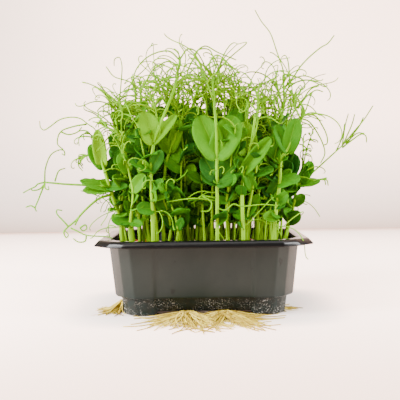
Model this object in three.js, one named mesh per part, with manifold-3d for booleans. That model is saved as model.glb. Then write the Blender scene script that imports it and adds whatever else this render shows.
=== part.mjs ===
// A punnet of living pea shoots: a thermoformed tray on four corner feet, a block of growing
// medium, the seeds on it, the shoots that stand in it, and the roots that leave by the drain holes.
// Millimetres, +Z up. The origin is on the surface that the feet stand on, below the tray's middle,
// +X runs along the tray's long side, and -Y is its front.
import * as THREE from "three";
import { mergeVertices } from "three/addons/utils/BufferGeometryUtils.js";
import Module from "manifold-3d";

const wasm = await Module();
wasm.setup();

// ---- Driving dimensions ----
const WALL = 0.9;
const GAP = 0.35; // between pieces that touch
const RIM_TOP = 52;
const SKIRT_DROP = 3.4; // the rim's edge is turned down by this much
const BODY_FOOT = 12.8; // where the body ends and the narrower base begins
const FLOOR_RISE = 3.5; // the floor stands this far above the feet
const MEDIUM_TOP = 40;
const SPREAD_X = 124; // how far the longest tendrils reach to either side
const SPREAD_Y = 88; // how far the longest roots reach to front and back
const TOP = 206; // tip of the tallest tendril

// Half length, half depth and corner cut of the tray's outline at each level.
const RIM_EDGE = { x: 73.5, y: 50, cutX: 21, cutY: 15 };
const RIM_LIP = { x: 70, y: 46.5, cutX: 19.5, cutY: 14 };
const BODY_HIGH = { x: 65.2, y: 41.7, cutX: 15.5, cutY: 15 };
const BODY_LOW = { x: 61.5, y: 38.3, cutX: 15, cutY: 15 };
const BASE_HIGH = { x: 57, y: 33.8, cutX: 9.5, cutY: 9 };
const BASE_LOW = { x: 55.6, y: 32.6, cutX: 9.3, cutY: 8.8 };

const PANEL_HALF = 31.7; // the wall between the feet is set back over this half length
const PANEL_DEPTH = 1.1;
const FOOT_SLOPE = 1.8; // a foot's inner side leans out by this much
const SIDE_CHANNEL_HALF = 14; // half the gap between the feet at the tray's ends

const HOLE_R = 3;
const DRAIN_HOLES = [
  [-13.5, -22], [13.5, -22], [-13.5, 22], [13.5, 22], [-42, 0], [42, 0], [0, 0],
];

const STEM_R = 1.45;
const STEM_TIP_R = 0.7;
const STALK_R = 0.65;
const TENDRIL_R = 0.4;
const LEAF_THICK = 1.1;

// ---- Small tools ----
const DEG = Math.PI / 180;
const lerp = THREE.MathUtils.lerp;
const vec = (x, y, z) => new THREE.Vector3(x, y, z);

// A repeatable number from 0 to 1 for the given shoot and draw.
const vary = (shoot, draw) => {
  const value = Math.sin(shoot * 12.9898 + draw * 78.233) * 43758.5453;
  return value - Math.floor(value);
};
const between = (low, high, shoot, draw) => lerp(low, high, vary(shoot, draw));

// A closed three.js geometry as a manifold solid.
function solid(geometry) {
  const bare = new THREE.BufferGeometry();
  bare.setAttribute("position", geometry.getAttribute("position"));
  if (geometry.index) bare.setIndex(geometry.index);
  const merged = mergeVertices(bare, 1e-4);
  return new wasm.Manifold(new wasm.Mesh({
    numProp: 3,
    vertProperties: merged.attributes.position.array,
    triVerts: new Uint32Array(merged.index.array),
  }));
}

// A manifold solid as a three.js geometry.
function geometryOf(made) {
  const { numProp, vertProperties, triVerts } = made.getMesh();
  const points = new Float32Array((vertProperties.length / numProp) * 3);
  for (let i = 0; i < points.length / 3; i += 1)
    points.set(vertProperties.subarray(i * numProp, i * numProp + 3), i * 3);
  const geometry = new THREE.BufferGeometry();
  geometry.setAttribute("position", new THREE.BufferAttribute(points, 3));
  geometry.setIndex(new THREE.BufferAttribute(triVerts, 1));
  geometry.computeVertexNormals();
  return geometry;
}

// Moves every vertex of a geometry by a function of it.
function reshape(geometry, move) {
  const at = geometry.getAttribute("position");
  for (let i = 0; i < at.count; i += 1) {
    const moved = move(vec(at.getX(i), at.getY(i), at.getZ(i)));
    at.setXYZ(i, moved.x, moved.y, moved.z);
  }
  return geometry;
}

// A bar with the given number of sides that tapers from startR to endR along a curve.
function tube(curve, startR, endR, sides, steps) {
  const corners = Array.from({ length: sides }, (_, k) => new THREE.Vector2(
    startR * Math.cos((2 * Math.PI * k) / sides), startR * Math.sin((2 * Math.PI * k) / sides)));
  const bar = new THREE.ExtrudeGeometry(new THREE.Shape(corners), { extrudePath: curve, steps });
  const centres = curve.getSpacedPoints(steps);
  return solid(reshape(bar, (point) => {
    const gaps = centres.map((centre) => centre.distanceToSquared(point));
    const step = gaps.indexOf(Math.min(...gaps));
    return point.lerp(centres[step], (1 - endR / startR) * (step / steps));
  }));
}

// The direction of something that leaves a stem: azimuth 0 is +X and -90 is the front.
const heading = (azimuth, rise) => vec(
  Math.cos(azimuth * DEG) * Math.cos(rise * DEG),
  Math.sin(azimuth * DEG) * Math.cos(rise * DEG),
  Math.sin(rise * DEG),
);

// ---- Tray ----

// The tray's outline: straight sides, each corner cut by two facets, and long sides set back
// in the middle by notch.
function outline({ x, y, cutX, cutY }, inset, notch) {
  const hx = x - inset;
  const hy = y - inset;
  const quarter = [
    [hx, hy - cutY],
    [hx - cutX * 0.48, hy - cutY * 0.36],
    [hx - cutX, hy],
  ];
  if (notch > 0) quarter.push([PANEL_HALF + notch - inset, hy], [PANEL_HALF - inset, hy - notch]);
  const half = [...quarter, ...quarter.map(([px, py]) => [-px, py]).reverse()];
  return [...half, ...half.map(([px, py]) => [-px, -py])];
}

// A solid whose outline goes evenly from low at z0 to high at z1.
function frustum(low, high, z0, z1, inset, notch = 0) {
  const foot = outline(low, inset, notch);
  const head = outline(high, inset, notch);
  const shape = new THREE.Shape(foot.map(([x, y]) => new THREE.Vector2(x, y)));
  const prism = new THREE.ExtrudeGeometry(shape, { depth: 1, bevelEnabled: false });
  return solid(reshape(prism, ({ x, y, z }) => {
    const nearest = foot.findIndex(([px, py]) => Math.hypot(px - x, py - y) < 1e-3);
    const [px, py] = z > 0.5 ? head[nearest] : foot[nearest];
    return vec(px, py, z > 0.5 ? z1 : z0);
  }));
}

const box = (sx, sy, sz, x, y, z) => solid(new THREE.BoxGeometry(sx, sy, sz).translate(x, y, z));

// The gap under the floor between the feet, along Y, grown by inset into the feet.
function channel(inset) {
  const wide = PANEL_HALF + inset;
  const side = new THREE.Shape([
    new THREE.Vector2(-wide - FOOT_SLOPE, -1),
    new THREE.Vector2(wide + FOOT_SLOPE, -1),
    new THREE.Vector2(wide, FLOOR_RISE + inset),
    new THREE.Vector2(-wide, FLOOR_RISE + inset),
  ]);
  const run = new THREE.ExtrudeGeometry(side, { depth: 120, bevelEnabled: false });
  return solid(run.translate(0, 0, -60).rotateX(Math.PI / 2));
}

// The tray's filled outside form, drawn in by inset on every face but its open top.
function trayForm(inset) {
  const body = frustum(BODY_LOW, BODY_HIGH, BODY_FOOT + inset, RIM_TOP + (inset > 0 ? 1 : 0), inset,
    PANEL_DEPTH);
  const ends = box(140, 2 * (SIDE_CHANNEL_HALF + inset), FLOOR_RISE + inset + 1, 0, 0,
    (FLOOR_RISE + inset - 1) / 2);
  const base = frustum(BASE_LOW, BASE_HIGH, inset, BODY_FOOT + inset + 0.5, inset, PANEL_DEPTH)
    .subtract(channel(inset))
    .subtract(ends);
  return body.add(base);
}

function tray() {
  const skirt = frustum(RIM_EDGE, RIM_LIP, RIM_TOP - SKIRT_DROP, RIM_TOP, 0);
  const under = frustum(RIM_EDGE, RIM_LIP, RIM_TOP - SKIRT_DROP - WALL, RIM_TOP - WALL, WALL * 0.4);
  let made = skirt.subtract(under).add(trayForm(0)).subtract(trayForm(WALL));
  DRAIN_HOLES.forEach(([x, y]) => {
    const drill = new THREE.CylinderGeometry(HOLE_R, HOLE_R, 6, 12).rotateX(Math.PI / 2);
    made = made.subtract(solid(drill.translate(x, y, FLOOR_RISE)));
  });
  return made;
}

// The block of medium fills the tray up to its level.
function medium() {
  const above = box(200, 200, 40, 0, 0, MEDIUM_TOP + 20);
  return trayForm(WALL + GAP).subtract(above);
}

// ---- Roots ----

// Each tuft hangs out of one drain hole: hole, middle direction, fan angle and reach.
const TUFTS = {
  front_left: { hole: [-13.5, -22], toward: -108, fan: 50, reach: 62 },
  front_right: { hole: [13.5, -22], toward: -72, fan: 50, reach: 62 },
  left: { hole: [-42, 0], toward: 180, fan: 44, reach: 32 },
  right: { hole: [42, 0], toward: 0, fan: 44, reach: 26 },
  back_left: { hole: [-13.5, 22], toward: 108, fan: -50, reach: 62 },
  back_right: { hole: [13.5, 22], toward: 72, fan: -50, reach: 62 },
};
const STRANDS = 5;
const ROOT_R = 0.75;
const NECK_HIGH = 3.2;
const LONGEST_STRAND = 2;

// A tuft is one clump: a neck that fills the hole and strands that fan out over the surface.
function rootTuft({ hole: [x, y], toward, fan, reach }, index) {
  const neck = new THREE.CylinderGeometry(HOLE_R - GAP, HOLE_R - GAP, NECK_HIGH, 8)
    .rotateX(Math.PI / 2)
    .translate(x, y, FLOOR_RISE + WALL - NECK_HIGH / 2);
  const reachesEdge = Math.abs(y) > 0;
  let made = solid(neck);
  for (let k = 0; k < STRANDS; k += 1) {
    const side = k / (STRANDS - 1) - 0.5;
    const angle = (toward + side * fan) * DEG;
    const limit = reachesEdge ? (SPREAD_Y - Math.abs(y) - ROOT_R) / Math.abs(Math.sin(angle)) : reach;
    const long = k === LONGEST_STRAND ? limit : reach * between(0.6, 0.95, index + 70, k);
    const at = (share, z) => vec(
      x + Math.cos(angle) * long * share, y + Math.sin(angle) * long * share, z);
    const path = new THREE.CatmullRomCurve3(
      [at(0, 2.4), at(0.16, 1.7), at(0.5, ROOT_R), at(1, ROOT_R)]);
    made = made.add(tube(path, ROOT_R, ROOT_R * 0.4, 4, 3));
  }
  return made;
}

// ---- Shoots ----

// A leaf: height on the stem, azimuth, rise, twist about its own length, length and width.
// A stalk: height on the stem, azimuth, rise and length.
// A tendril: height on the stem, tip, sideways bend and, where it grows from a stalk, which one.
const SHOOTS = [
  { base: [7.9, -32], tip: [6.4, -31, 162], bow: [1.8, 0],
    leaves: [[113, 180, 66, -80, 28, 18], [113, 0, 64, 80, 27, 18],
      [88, 180, 45, -60, 19, 15], [88, 0, 42, 60, 26, 17]],
    stalks: [[120, -60, 72, 40], [150, 160, 60, 26]] },
  { base: [-35.2, -32], tip: [-17.8, -30, 157], bow: [-9.5, 0],
    leaves: [[118, 180, 68, -80, 24, 16], [119, 0, 48, 40, 22, 14],
      [99, 200, 12, 0, 19, 15], [99, -20, 40, 30, 17, 14]],
    stalks: [[104, -100, 65, 22], [140, 150, 62, 28]] },
  { base: [-27.5, -23], tip: [-13.5, -22, 148], bow: [-5, 0],
    leaves: [[114, 170, 70, -60, 13, 8], [114, 10, 60, 60, 21, 10], [106, -30, -40, 60, 15, 8]],
    stalks: [[118, 60, 70, 40]] },
  { base: [-17.5, -15], tip: [-8, -14, 158], bow: [-1, 0],
    leaves: [[110, 10, 75, 55, 26, 14], [110, 190, 60, -50, 20, 14], [80, -60, 50, 20, 13, 10]],
    stalks: [[125, 120, 72, 40]] },
  { base: [-4, -14], tip: [0, -12, 164], bow: [0.5, 0],
    leaves: [[122, 175, 66, -70, 22, 14], [95, 180, 40, -60, 17, 13], [95, 5, 30, 50, 16, 12]],
    stalks: [[130, -10, 70, 38], [76, -150, 20, 24]] },
  { base: [25.8, -32], tip: [31, -31, 140], bow: [-1, 0],
    leaves: [[98, 5, 53, 55, 30, 12], [98, 175, 45, -60, 15, 12]],
    stalks: [[112, 30, 70, 40]] },
  { base: [32.6, -25], tip: [33, -22, 150], bow: [0, 0],
    leaves: [[110, 180, 80, -85, 24, 15], [92, 0, 50, 60, 16, 12]],
    stalks: [[124, 80, 75, 34]] },
  { base: [40, -22], tip: [58.4, -20, 152], bow: [-8, 0],
    leaves: [[92, 180, 65, -75, 18, 12], [92, 0, 60, 80, 22, 15], [116, -10, 55, 40, 22, 11]],
    stalks: [[132, 170, 60, 30]],
    tendrils: [[150, [36, -22, TOP - TENDRIL_R], 7], [150, [90, -16, 190], -6]] },
  { base: [49, -29], tip: [68, -26, 142], bow: [-6, 0],
    leaves: [[114, 0, 82, 80, 26, 14], [84, -20, 8, 0, 20, 14], [88, 0, 70, 80, 11, 8]],
    stalks: [[128, 20, 50, 22]] },
  { base: [55.5, -10], tip: [68.9, -8, 92], bow: [-2, 0],
    leaves: [[72, 10, 40, 60, 12, 9], [64, -120, 20, 20, 11, 9], [86, 60, 50, 60, 13, 10]],
    stalks: [[88, 0, 38, 44], [88, -5, 5, 27]],
    tendrils: [[118, [SPREAD_X - TENDRIL_R, -4, 142], -3, 0]] },
  { base: [-54.5, -24], tip: [-71, -22, 132], bow: [-2, 0],
    leaves: [[103, 120, 85, -60, 26, 12], [103, 160, 68, -60, 18, 12],
      [87, 185, 5, 10, 24, 17], [87, 150, 8, 0, 20, 14]],
    stalks: [[87, 178, 10, 46], [85, 205, -38, 34]],
    tendrils: [[97, [-SPREAD_X + TENDRIL_R, -26, 84], 4, 0]] },
  { base: [-58.5, -15], tip: [-55.5, -20, 134], bow: [-1, 0],
    leaves: [[93, 180, 75, -85, 19, 13], [112, 150, 60, -60, 16, 11]],
    stalks: [[118, 170, 50, 32]] },
  { base: [-46, -31], tip: [-50, -29, 116], bow: [3, 0],
    leaves: [[68, 200, 10, 0, 15, 10], [68, 10, 8, 0, 12, 9], [88, 30, 50, 50, 15, 11]],
    stalks: [[96, 150, 60, 30]] },
  { base: [-45, -21], tip: [-56, -18, 140], bow: [4, 0],
    leaves: [[104, 175, 60, -70, 18, 13], [104, 10, 55, 60, 18, 12], [80, -40, 30, 30, 14, 10]],
    stalks: [[116, 170, 65, 36]] },
  { base: [16.5, -22], tip: [15, -18, 158], bow: [1, 0],
    leaves: [[98, 0, 55, 75, 18, 13], [78, -50, 45, 30, 14, 11], [120, 20, 66, 75, 22, 14]],
    stalks: [[128, 60, 70, 36]] },
];

// The shoots behind the front ones stand in rows, each at its own place and lean.
const REAR_ROWS = [-6, 5, 16, 27];
const REAR_COLUMNS = 5;
const REAR_PITCH = 23;

function rearShoot(row, column, index) {
  const stagger = row % 2 === 0 ? 0 : REAR_PITCH / 2 - 3;
  const x = (column - (REAR_COLUMNS - 1) / 2) * REAR_PITCH + stagger - 4 + between(-2.5, 2.5, index, 1);
  const y = REAR_ROWS[row] + between(-2, 2, index, 2);
  const top = between(138, 166, index, 3);
  const tip = [x * 1.16 + between(-4, 4, index, 4), y * 1.1 + between(-3, 3, index, 5), top];
  const leaves = [];
  [0.5, 0.72].forEach((share, joint) => {
    const z = lerp(MEDIUM_TOP, top, share + between(-0.04, 0.04, index, 10 + joint));
    const turn = between(-40, 40, index, 20 + joint) + joint * 80;
    const size = between(15, 22, index, 30 + joint);
    const rise = between(38, 68, index, 40 + joint);
    leaves.push([z, turn + 180, rise, -70, size, size * 0.68]);
    leaves.push([z, turn, rise - 6, 70, size * 0.94, size * 0.66]);
  });
  const stalks = [0.68, 0.86].map((share, joint) => [
    lerp(MEDIUM_TOP, top, share), between(0, 360, index, 50 + joint), between(55, 80, index, 60 + joint),
    between(24, 36, index, 65 + joint)]);
  return { base: [x, y], tip, bow: [between(-3, 3, index, 6), between(-2, 2, index, 7)], leaves, stalks };
}

REAR_ROWS.forEach((_, row) => {
  for (let column = 0; column < REAR_COLUMNS; column += 1)
    SHOOTS.push(rearShoot(row, column, SHOOTS.length));
});

// The stem's centreline: a straight run from base to tip, bowed in the middle.
class StemCurve extends THREE.Curve {
  constructor({ base, tip, bow }) {
    super();
    Object.assign(this, { base, tip, bow, foot: MEDIUM_TOP + GAP });
  }

  getPoint(share, target = new THREE.Vector3()) {
    const arch = 4 * share * (1 - share);
    return target.set(
      lerp(this.base[0], this.tip[0], share) + this.bow[0] * arch,
      lerp(this.base[1], this.tip[1], share) + this.bow[1] * arch,
      lerp(this.foot, this.tip[2], share),
    );
  }

  atHeight(z) {
    return this.getPoint((z - this.foot) / (this.tip[2] - this.foot));
  }
}

const stemBar = (plan) => tube(new StemCurve(plan), STEM_R, STEM_TIP_R, 5, 4);

// A stipule: a thin oval blade, cupped along its middle, that starts at root.
function leaf(root, [, azimuth, rise, twist, length, width]) {
  const along = heading(azimuth, rise);
  const upright = vec(0, 0, 1).addScaledVector(along, -along.z).normalize();
  const normal = upright.applyAxisAngle(along, twist * DEG);
  const across = normal.clone().cross(along);
  const blade = reshape(new THREE.SphereGeometry(0.5, 6, 2), ({ x, y, z }) => vec(
    x * width * (1.15 - 0.3 * (z + 0.5)),
    y * LEAF_THICK + x * x * width * 0.7,
    (z + 0.5) * length,
  ));
  blade.applyMatrix4(new THREE.Matrix4().makeBasis(across, normal, along));
  return solid(blade.translate(root.x, root.y, root.z));
}

// A leaf stalk: it leaves the stem along its heading and bends up a little.
function stalk(root, [, azimuth, rise, length]) {
  const tip = root.clone().addScaledVector(heading(azimuth, rise), length);
  const middle = root.clone().lerp(tip, 0.5).add(vec(0, 0, -length * 0.05));
  return tube(new THREE.QuadraticBezierCurve3(root, middle, tip), STALK_R, TENDRIL_R, 3, 2);
}

// A long tendril from root to a stated point, bowed sideways by bend.
function tendril(root, [, to, bend]) {
  const tip = vec(...to);
  const middle = root.clone().lerp(tip, 0.5).add(vec(bend, 0, Math.abs(bend)));
  return tube(new THREE.QuadraticBezierCurve3(root, middle, tip), TENDRIL_R, TENDRIL_R * 0.8, 3, 5);
}

// The end of a shoot's first stalk, where a tendril starts that has no stem to start from.
const stalkEnd = (stem, [z, azimuth, rise, length]) =>
  stem.atHeight(z).addScaledVector(heading(azimuth, rise), length - 1);

// One shoot. A leaf or stalk that would touch a neighbour or seal a hollow is left out, because
// the foliage of a full tray leans on itself and these solids have to stay apart.
function shoot(plan, neighbours) {
  const stem = new StemCurve(plan);
  let made = stemBar(plan);
  const organs = [
    ...plan.leaves.map((entry) => leaf(stem.atHeight(entry[0]), entry)),
    ...plan.stalks.map((entry) => stalk(stem.atHeight(entry[0]), entry)),
    ...(plan.tendrils ?? []).map((entry) => tendril(
      entry.length > 3 ? stalkEnd(stem, plan.stalks[entry[3]]) : stem.atHeight(entry[0]), entry)),
  ];
  organs.forEach((organ) => {
    const joined = made.add(organ);
    const clear = neighbours.every((other) => organ.minGap(other, GAP) >= GAP);
    if (clear && joined.decompose().length === 1) made = joined;
  });
  return made;
}

// ---- Seeds ----
const SEED_R = 3.3;
const SEEDS = [[-50, -10], [-41, -26], [-28, -31], [-20, -23], [-8, -24], [1, -23], [19, -13], [43, -31]];

const seed = ([x, y]) => solid(new THREE.SphereGeometry(SEED_R, 7, 5)
  .translate(x, y, MEDIUM_TOP + GAP + SEED_R));

// ---- Assembly ----
const FINISHES = {
  tray: { color: 0x2b2a28, roughness: 0.35, metalness: 0 },
  medium: { color: 0x3a2a1c, roughness: 0.95, metalness: 0 },
  root: { color: 0xd9c27a, roughness: 0.7, metalness: 0 },
  seed: { color: 0xa65a26, roughness: 0.6, metalness: 0 },
  shoot: { color: 0x7fb52f, roughness: 0.5, metalness: 0 },
};

const punnet = new THREE.Group();

function addNode(name, made, finish) {
  const mesh = new THREE.Mesh(geometryOf(made), new THREE.MeshStandardMaterial(FINISHES[finish]));
  mesh.name = name;
  punnet.add(mesh);
}

const numbered = (stem, index) => `${stem}_${String(index + 1).padStart(2, "0")}`;

const trayShell = tray();
addNode("tray", trayShell, "tray");
addNode("growing_medium", medium(), "medium");
Object.entries(TUFTS).forEach(([place, tuft], index) => {
  addNode(`root_tuft_${place}`, rootTuft(tuft, index), "root");
});

const seeds = SEEDS.map(seed);
seeds.forEach((made, index) => addNode(numbered("pea_seed", index), made, "seed"));

const stems = SHOOTS.map(stemBar);
const grown = [];
SHOOTS.forEach((plan, index) => {
  const neighbours = [trayShell, ...seeds, ...grown, ...stems.slice(index + 1)];
  grown.push(shoot(plan, neighbours));
  addNode(numbered("pea_shoot", index), grown[index], "shoot");
});

export default punnet;
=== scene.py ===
"""A tray of living pea shoots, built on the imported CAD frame.

The moulded tray, the growing medium, the seeds, the roots and every shoot stand where their CAD
solids do and replace them. Sizes in the classes and tables are millimetres, and each mesh is
turned to metres when it becomes a piece.
"""

import logging
import math
from dataclasses import dataclass, field
from enum import Enum
from random import Random
from typing import Any, Iterable, Sequence

import bmesh
import bpy
from mathutils import Matrix, Vector, noise


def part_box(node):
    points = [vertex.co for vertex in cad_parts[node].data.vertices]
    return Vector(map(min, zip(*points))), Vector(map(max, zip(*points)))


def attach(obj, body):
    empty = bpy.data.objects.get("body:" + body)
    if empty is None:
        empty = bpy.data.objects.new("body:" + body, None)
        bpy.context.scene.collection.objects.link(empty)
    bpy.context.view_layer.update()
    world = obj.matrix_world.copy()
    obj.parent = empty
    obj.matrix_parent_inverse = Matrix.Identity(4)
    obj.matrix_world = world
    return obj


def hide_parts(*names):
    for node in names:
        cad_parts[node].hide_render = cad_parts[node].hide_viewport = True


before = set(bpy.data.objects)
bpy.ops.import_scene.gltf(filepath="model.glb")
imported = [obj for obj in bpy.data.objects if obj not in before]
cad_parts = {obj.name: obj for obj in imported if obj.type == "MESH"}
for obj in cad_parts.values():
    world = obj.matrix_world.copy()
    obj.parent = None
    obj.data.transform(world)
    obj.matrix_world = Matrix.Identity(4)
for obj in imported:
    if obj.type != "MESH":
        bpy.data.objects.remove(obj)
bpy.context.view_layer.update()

LOG = logging.getLogger("pea_shoots")

MM = 0.001
BODY = "root"
UP = Vector((0, 0, 1))
MEDIUM_TOP = 40.0

Point = tuple[float, float, float]


# ---------------------------------------------------------------- numbers and shapes


def linear(colour: str) -> tuple[float, float, float, float]:
    """Turns a screen colour into the linear values that a shader takes.

    Args:
        colour: An sRGB colour as "#rrggbb".

    Returns:
        Linear red, green and blue, and an alpha of 1.
    """
    parts = [int(colour[k:k + 2], 16) / 255 for k in (1, 3, 5)]
    r, g, b = (p / 12.92 if p <= 0.04045 else ((p + 0.055) / 1.055) ** 2.4 for p in parts)
    return r, g, b, 1.0


def lerp(low: float, high: float, share: float) -> float:
    """Returns the value that lies at share of the way from low to high."""
    return low + (high - low) * share


def vary(item: int, draw: int) -> float:
    """Returns the repeatable number from 0 to 1 that the CAD model draws for an item."""
    value = math.sin(item * 12.9898 + draw * 78.233) * 43758.5453
    return value - math.floor(value)


def between(low: float, high: float, item: int, draw: int) -> float:
    """Returns the CAD model's repeatable number for an item, from low to high."""
    return lerp(low, high, vary(item, draw))


def heading(azimuth: float, rise: float) -> Vector:
    """Gives the direction of something that leaves a stem.

    Args:
        azimuth: Degrees round the stem. 0 is +X and -90 is the front.
        rise: Degrees above the horizontal.

    Returns:
        A unit vector.
    """
    a, e = math.radians(azimuth), math.radians(rise)
    return Vector((math.cos(a) * math.cos(e), math.sin(a) * math.cos(e), math.sin(e)))


def smooth_path(points: Sequence[Vector], steps: int) -> list[Vector]:
    """Rounds a route of a few points into an even curve through them.

    Args:
        points: The route, at least two points.
        steps: How many pieces each stretch is cut into.

    Returns:
        The points of a Catmull-Rom curve.
    """
    ends = [points[0] * 2 - points[1], *points, points[-1] * 2 - points[-2]]
    path = []
    for p0, p1, p2, p3 in zip(ends, ends[1:], ends[2:], ends[3:]):
        for k in range(steps):
            t = k / steps
            path.append(0.5 * (2 * p1 + (p2 - p0) * t + (2 * p0 - 5 * p1 + 4 * p2 - p3) * t * t
                               + (3 * p1 - p0 - 3 * p2 + p3) * t ** 3))
    return [*path, points[-1].copy()]


def across_of(direction: Vector, rng: Random) -> Vector:
    """Returns a random unit vector at right angles to a direction."""
    while True:
        guess = Vector((rng.uniform(-1, 1), rng.uniform(-1, 1), rng.uniform(-1, 1)))
        side = direction.cross(guess)
        if side.length > 0.2:
            return side.normalized()


@dataclass
class Strand:
    """One round strand, such as a stem, tendril or root.

    Attributes:
        path: Its centreline in mm.
        thick: Its radius at the start, in mm.
        thin: Its radius at the end, in mm.
        tint: How old to young it looks, from 0 to 1, for its material.
    """

    path: list[Vector]
    thick: float
    thin: float
    tint: float = 0.5

    def radius(self, share: float) -> float:
        """Returns the radius at a share of the way along."""
        return lerp(self.thick, self.thin, share ** 0.8)


def strands_to_mesh(strands: Iterable[Strand], ring: int) -> bpy.types.Mesh:
    """Makes closed tubes of strands.

    Args:
        strands: The strands, in mm.
        ring: The curve's bevel resolution: 0 gives four sides, and each further one gives two more.

    Returns:
        A mesh in mm whose point attribute "tint" holds each strand's tint.
    """
    strands = list(strands)
    whole = bmesh.new()
    tint = whole.verts.layers.float.new("tint")
    for shade in sorted({strand.tint for strand in strands}):
        curve = bpy.data.curves.new("strands", "CURVE")
        curve.dimensions = "3D"
        curve.bevel_depth = 1.0
        curve.bevel_resolution = ring
        curve.use_fill_caps = True
        for strand in (s for s in strands if s.tint == shade):
            spline = curve.splines.new("POLY")
            spline.points.add(len(strand.path) - 1)
            last = len(strand.path) - 1
            for k, (place, point) in enumerate(zip(strand.path, spline.points)):
                point.co = (*place, 1)
                point.radius = strand.radius(k / last)
        carrier = bpy.data.objects.new("strands", curve)
        mesh = bpy.data.meshes.new_from_object(carrier)
        first = len(whole.verts)
        whole.from_mesh(mesh)
        whole.verts.ensure_lookup_table()
        for vert in whole.verts[first:]:
            vert[tint] = shade
        bpy.data.objects.remove(carrier)
        bpy.data.curves.remove(curve)
        bpy.data.meshes.remove(mesh)
    bmesh.ops.remove_doubles(whole, verts=whole.verts, dist=1e-5)
    bmesh.ops.recalc_face_normals(whole, faces=whole.faces)
    return mesh_of(whole)


def mesh_of(bm: bmesh.types.BMesh) -> bpy.types.Mesh:
    """Turns a bmesh into a mesh and frees it."""
    mesh = bpy.data.meshes.new("made")
    bm.to_mesh(mesh)
    bm.free()
    return mesh


def add_piece(name: str, mesh: bpy.types.Mesh, finish: bpy.types.Material,
              nodes: Sequence[str] = ()) -> bpy.types.Object:
    """Puts a finished mesh into the scene as a piece of the object.

    Args:
        name: The piece's name.
        mesh: Its mesh, in mm and in the CAD model's frame.
        finish: Its material.
        nodes: The CAD nodes that it stands for.

    Returns:
        The new object, at the origin, riding on the CAD body.
    """
    mesh.name = name
    mesh.transform(Matrix.Scale(MM, 4))
    mesh.materials.clear()
    mesh.materials.append(finish)
    mesh.shade_smooth()
    piece = bpy.data.objects.new(name, mesh)
    bpy.context.scene.collection.objects.link(piece)
    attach(piece, BODY)
    if nodes:
        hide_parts(*nodes)
    LOG.info("%s: %d faces", name, len(mesh.polygons))
    return piece


def box_of(node: str) -> tuple[Vector, Vector]:
    """Returns a CAD node's lowest and highest corners in mm."""
    low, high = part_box(node)
    return Vector(low) / MM, Vector(high) / MM


# ---------------------------------------------------------------- shader nodes


def add_node(tree: bpy.types.NodeTree, kind: str, inputs: dict[Any, Any] | None = None,
             **settings: Any) -> bpy.types.Node:
    """Adds a shader node.

    Args:
        tree: The material's node tree.
        kind: The node's type, without "ShaderNode".
        inputs: What goes into each socket: another node's output, or a plain value.
        **settings: The node's own properties.

    Returns:
        The new node.
    """
    node = tree.nodes.new("ShaderNode" + kind)
    for key, value in settings.items():
        setattr(node, key, value)
    for key, value in (inputs or {}).items():
        if isinstance(value, bpy.types.NodeSocket):
            tree.links.new(value, node.inputs[key])
        else:
            node.inputs[key].default_value = value
    return node


def ramp(tree: bpy.types.NodeTree, factor: bpy.types.NodeSocket,
         stops: Sequence[tuple[float, str]]) -> bpy.types.NodeSocket:
    """Adds a colour ramp.

    Args:
        tree: The material's node tree.
        factor: What drives the ramp.
        stops: Places from 0 to 1 and their sRGB colours.

    Returns:
        The ramp's colour.
    """
    node = add_node(tree, "ValToRGB", {"Fac": factor})
    band = node.color_ramp
    while len(band.elements) < len(stops):
        band.elements.new(0.5)
    for element, (place, colour) in zip(band.elements, stops):
        element.position = place
        element.color = linear(colour)
    return node.outputs["Color"]


def math_node(tree: bpy.types.NodeTree, operation: str, *values: Any) -> bpy.types.NodeSocket:
    """Adds a Math node and returns its output."""
    return add_node(tree, "Math", dict(enumerate(values)), operation=operation).outputs[0]


def spread(tree: bpy.types.NodeTree, value: bpy.types.NodeSocket, low: float,
           high: float) -> bpy.types.NodeSocket:
    """Stretches a value so that low becomes 0 and high becomes 1, clamped."""
    return add_node(tree, "MapRange", {"Value": value, "From Min": low, "From Max": high},
                    interpolation_type="SMOOTHSTEP").outputs[0]


def blend(tree: bpy.types.NodeTree, share: Any, first: Any, second: Any) -> bpy.types.NodeSocket:
    """Mixes two colours and returns the result."""
    node = tree.nodes.new("ShaderNodeMix")
    node.data_type = "RGBA"
    for socket, value in ((node.inputs[0], share), (node.inputs[6], first), (node.inputs[7], second)):
        if isinstance(value, bpy.types.NodeSocket):
            tree.links.new(value, socket)
        else:
            socket.default_value = value
    return node.outputs[2]


@dataclass(frozen=True)
class Finish:
    """What every finish has: a name, a gloss and the shader's fixed values.

    Attributes:
        name: The material's name.
        roughness: How matt it is, from 0 to 1.
        specular: The dielectric's specular level, 0.5 for an IOR of 1.5.
        subsurface: The weight of light scattered under the surface.
    """

    name: str
    roughness: float
    specular: float = 0.5
    subsurface: float = 0.0

    def paint(self, tree: bpy.types.NodeTree) -> tuple[Any, Any]:
        """Makes the nodes of the surface's pattern.

        Args:
            tree: The material's node tree.

        Returns:
            The colour, and the height for the bump in mm, or None for none.
        """
        raise NotImplementedError

    def material(self) -> bpy.types.Material:
        """Builds the material.

        Returns:
            A material whose colour and bump come from paint.
        """
        made = bpy.data.materials.new(self.name)
        made.use_nodes = True
        tree = made.node_tree
        tree.nodes.clear()
        colour, height = self.paint(tree)
        shader = add_node(tree, "BsdfPrincipled", {
            "Base Color": colour, "Roughness": self.roughness, "Specular IOR Level": self.specular,
            "Subsurface Weight": self.subsurface, "Subsurface Scale": 0.002,
            "Subsurface Radius": (0.6, 1.0, 0.25)})
        if height is not None:
            bump = add_node(tree, "Bump", {"Height": height, "Distance": MM, "Strength": 1.0})
            tree.links.new(bump.outputs[0], shader.inputs["Normal"])
        add_node(tree, "OutputMaterial", {"Surface": self.surface(tree, shader, colour)})
        return made

    def surface(self, tree: bpy.types.NodeTree, shader: bpy.types.Node,
                colour: bpy.types.NodeSocket) -> bpy.types.NodeSocket:
        """Returns the shader that reaches the output, the Principled one unless a finish adds to it."""
        return shader.outputs[0]


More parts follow.
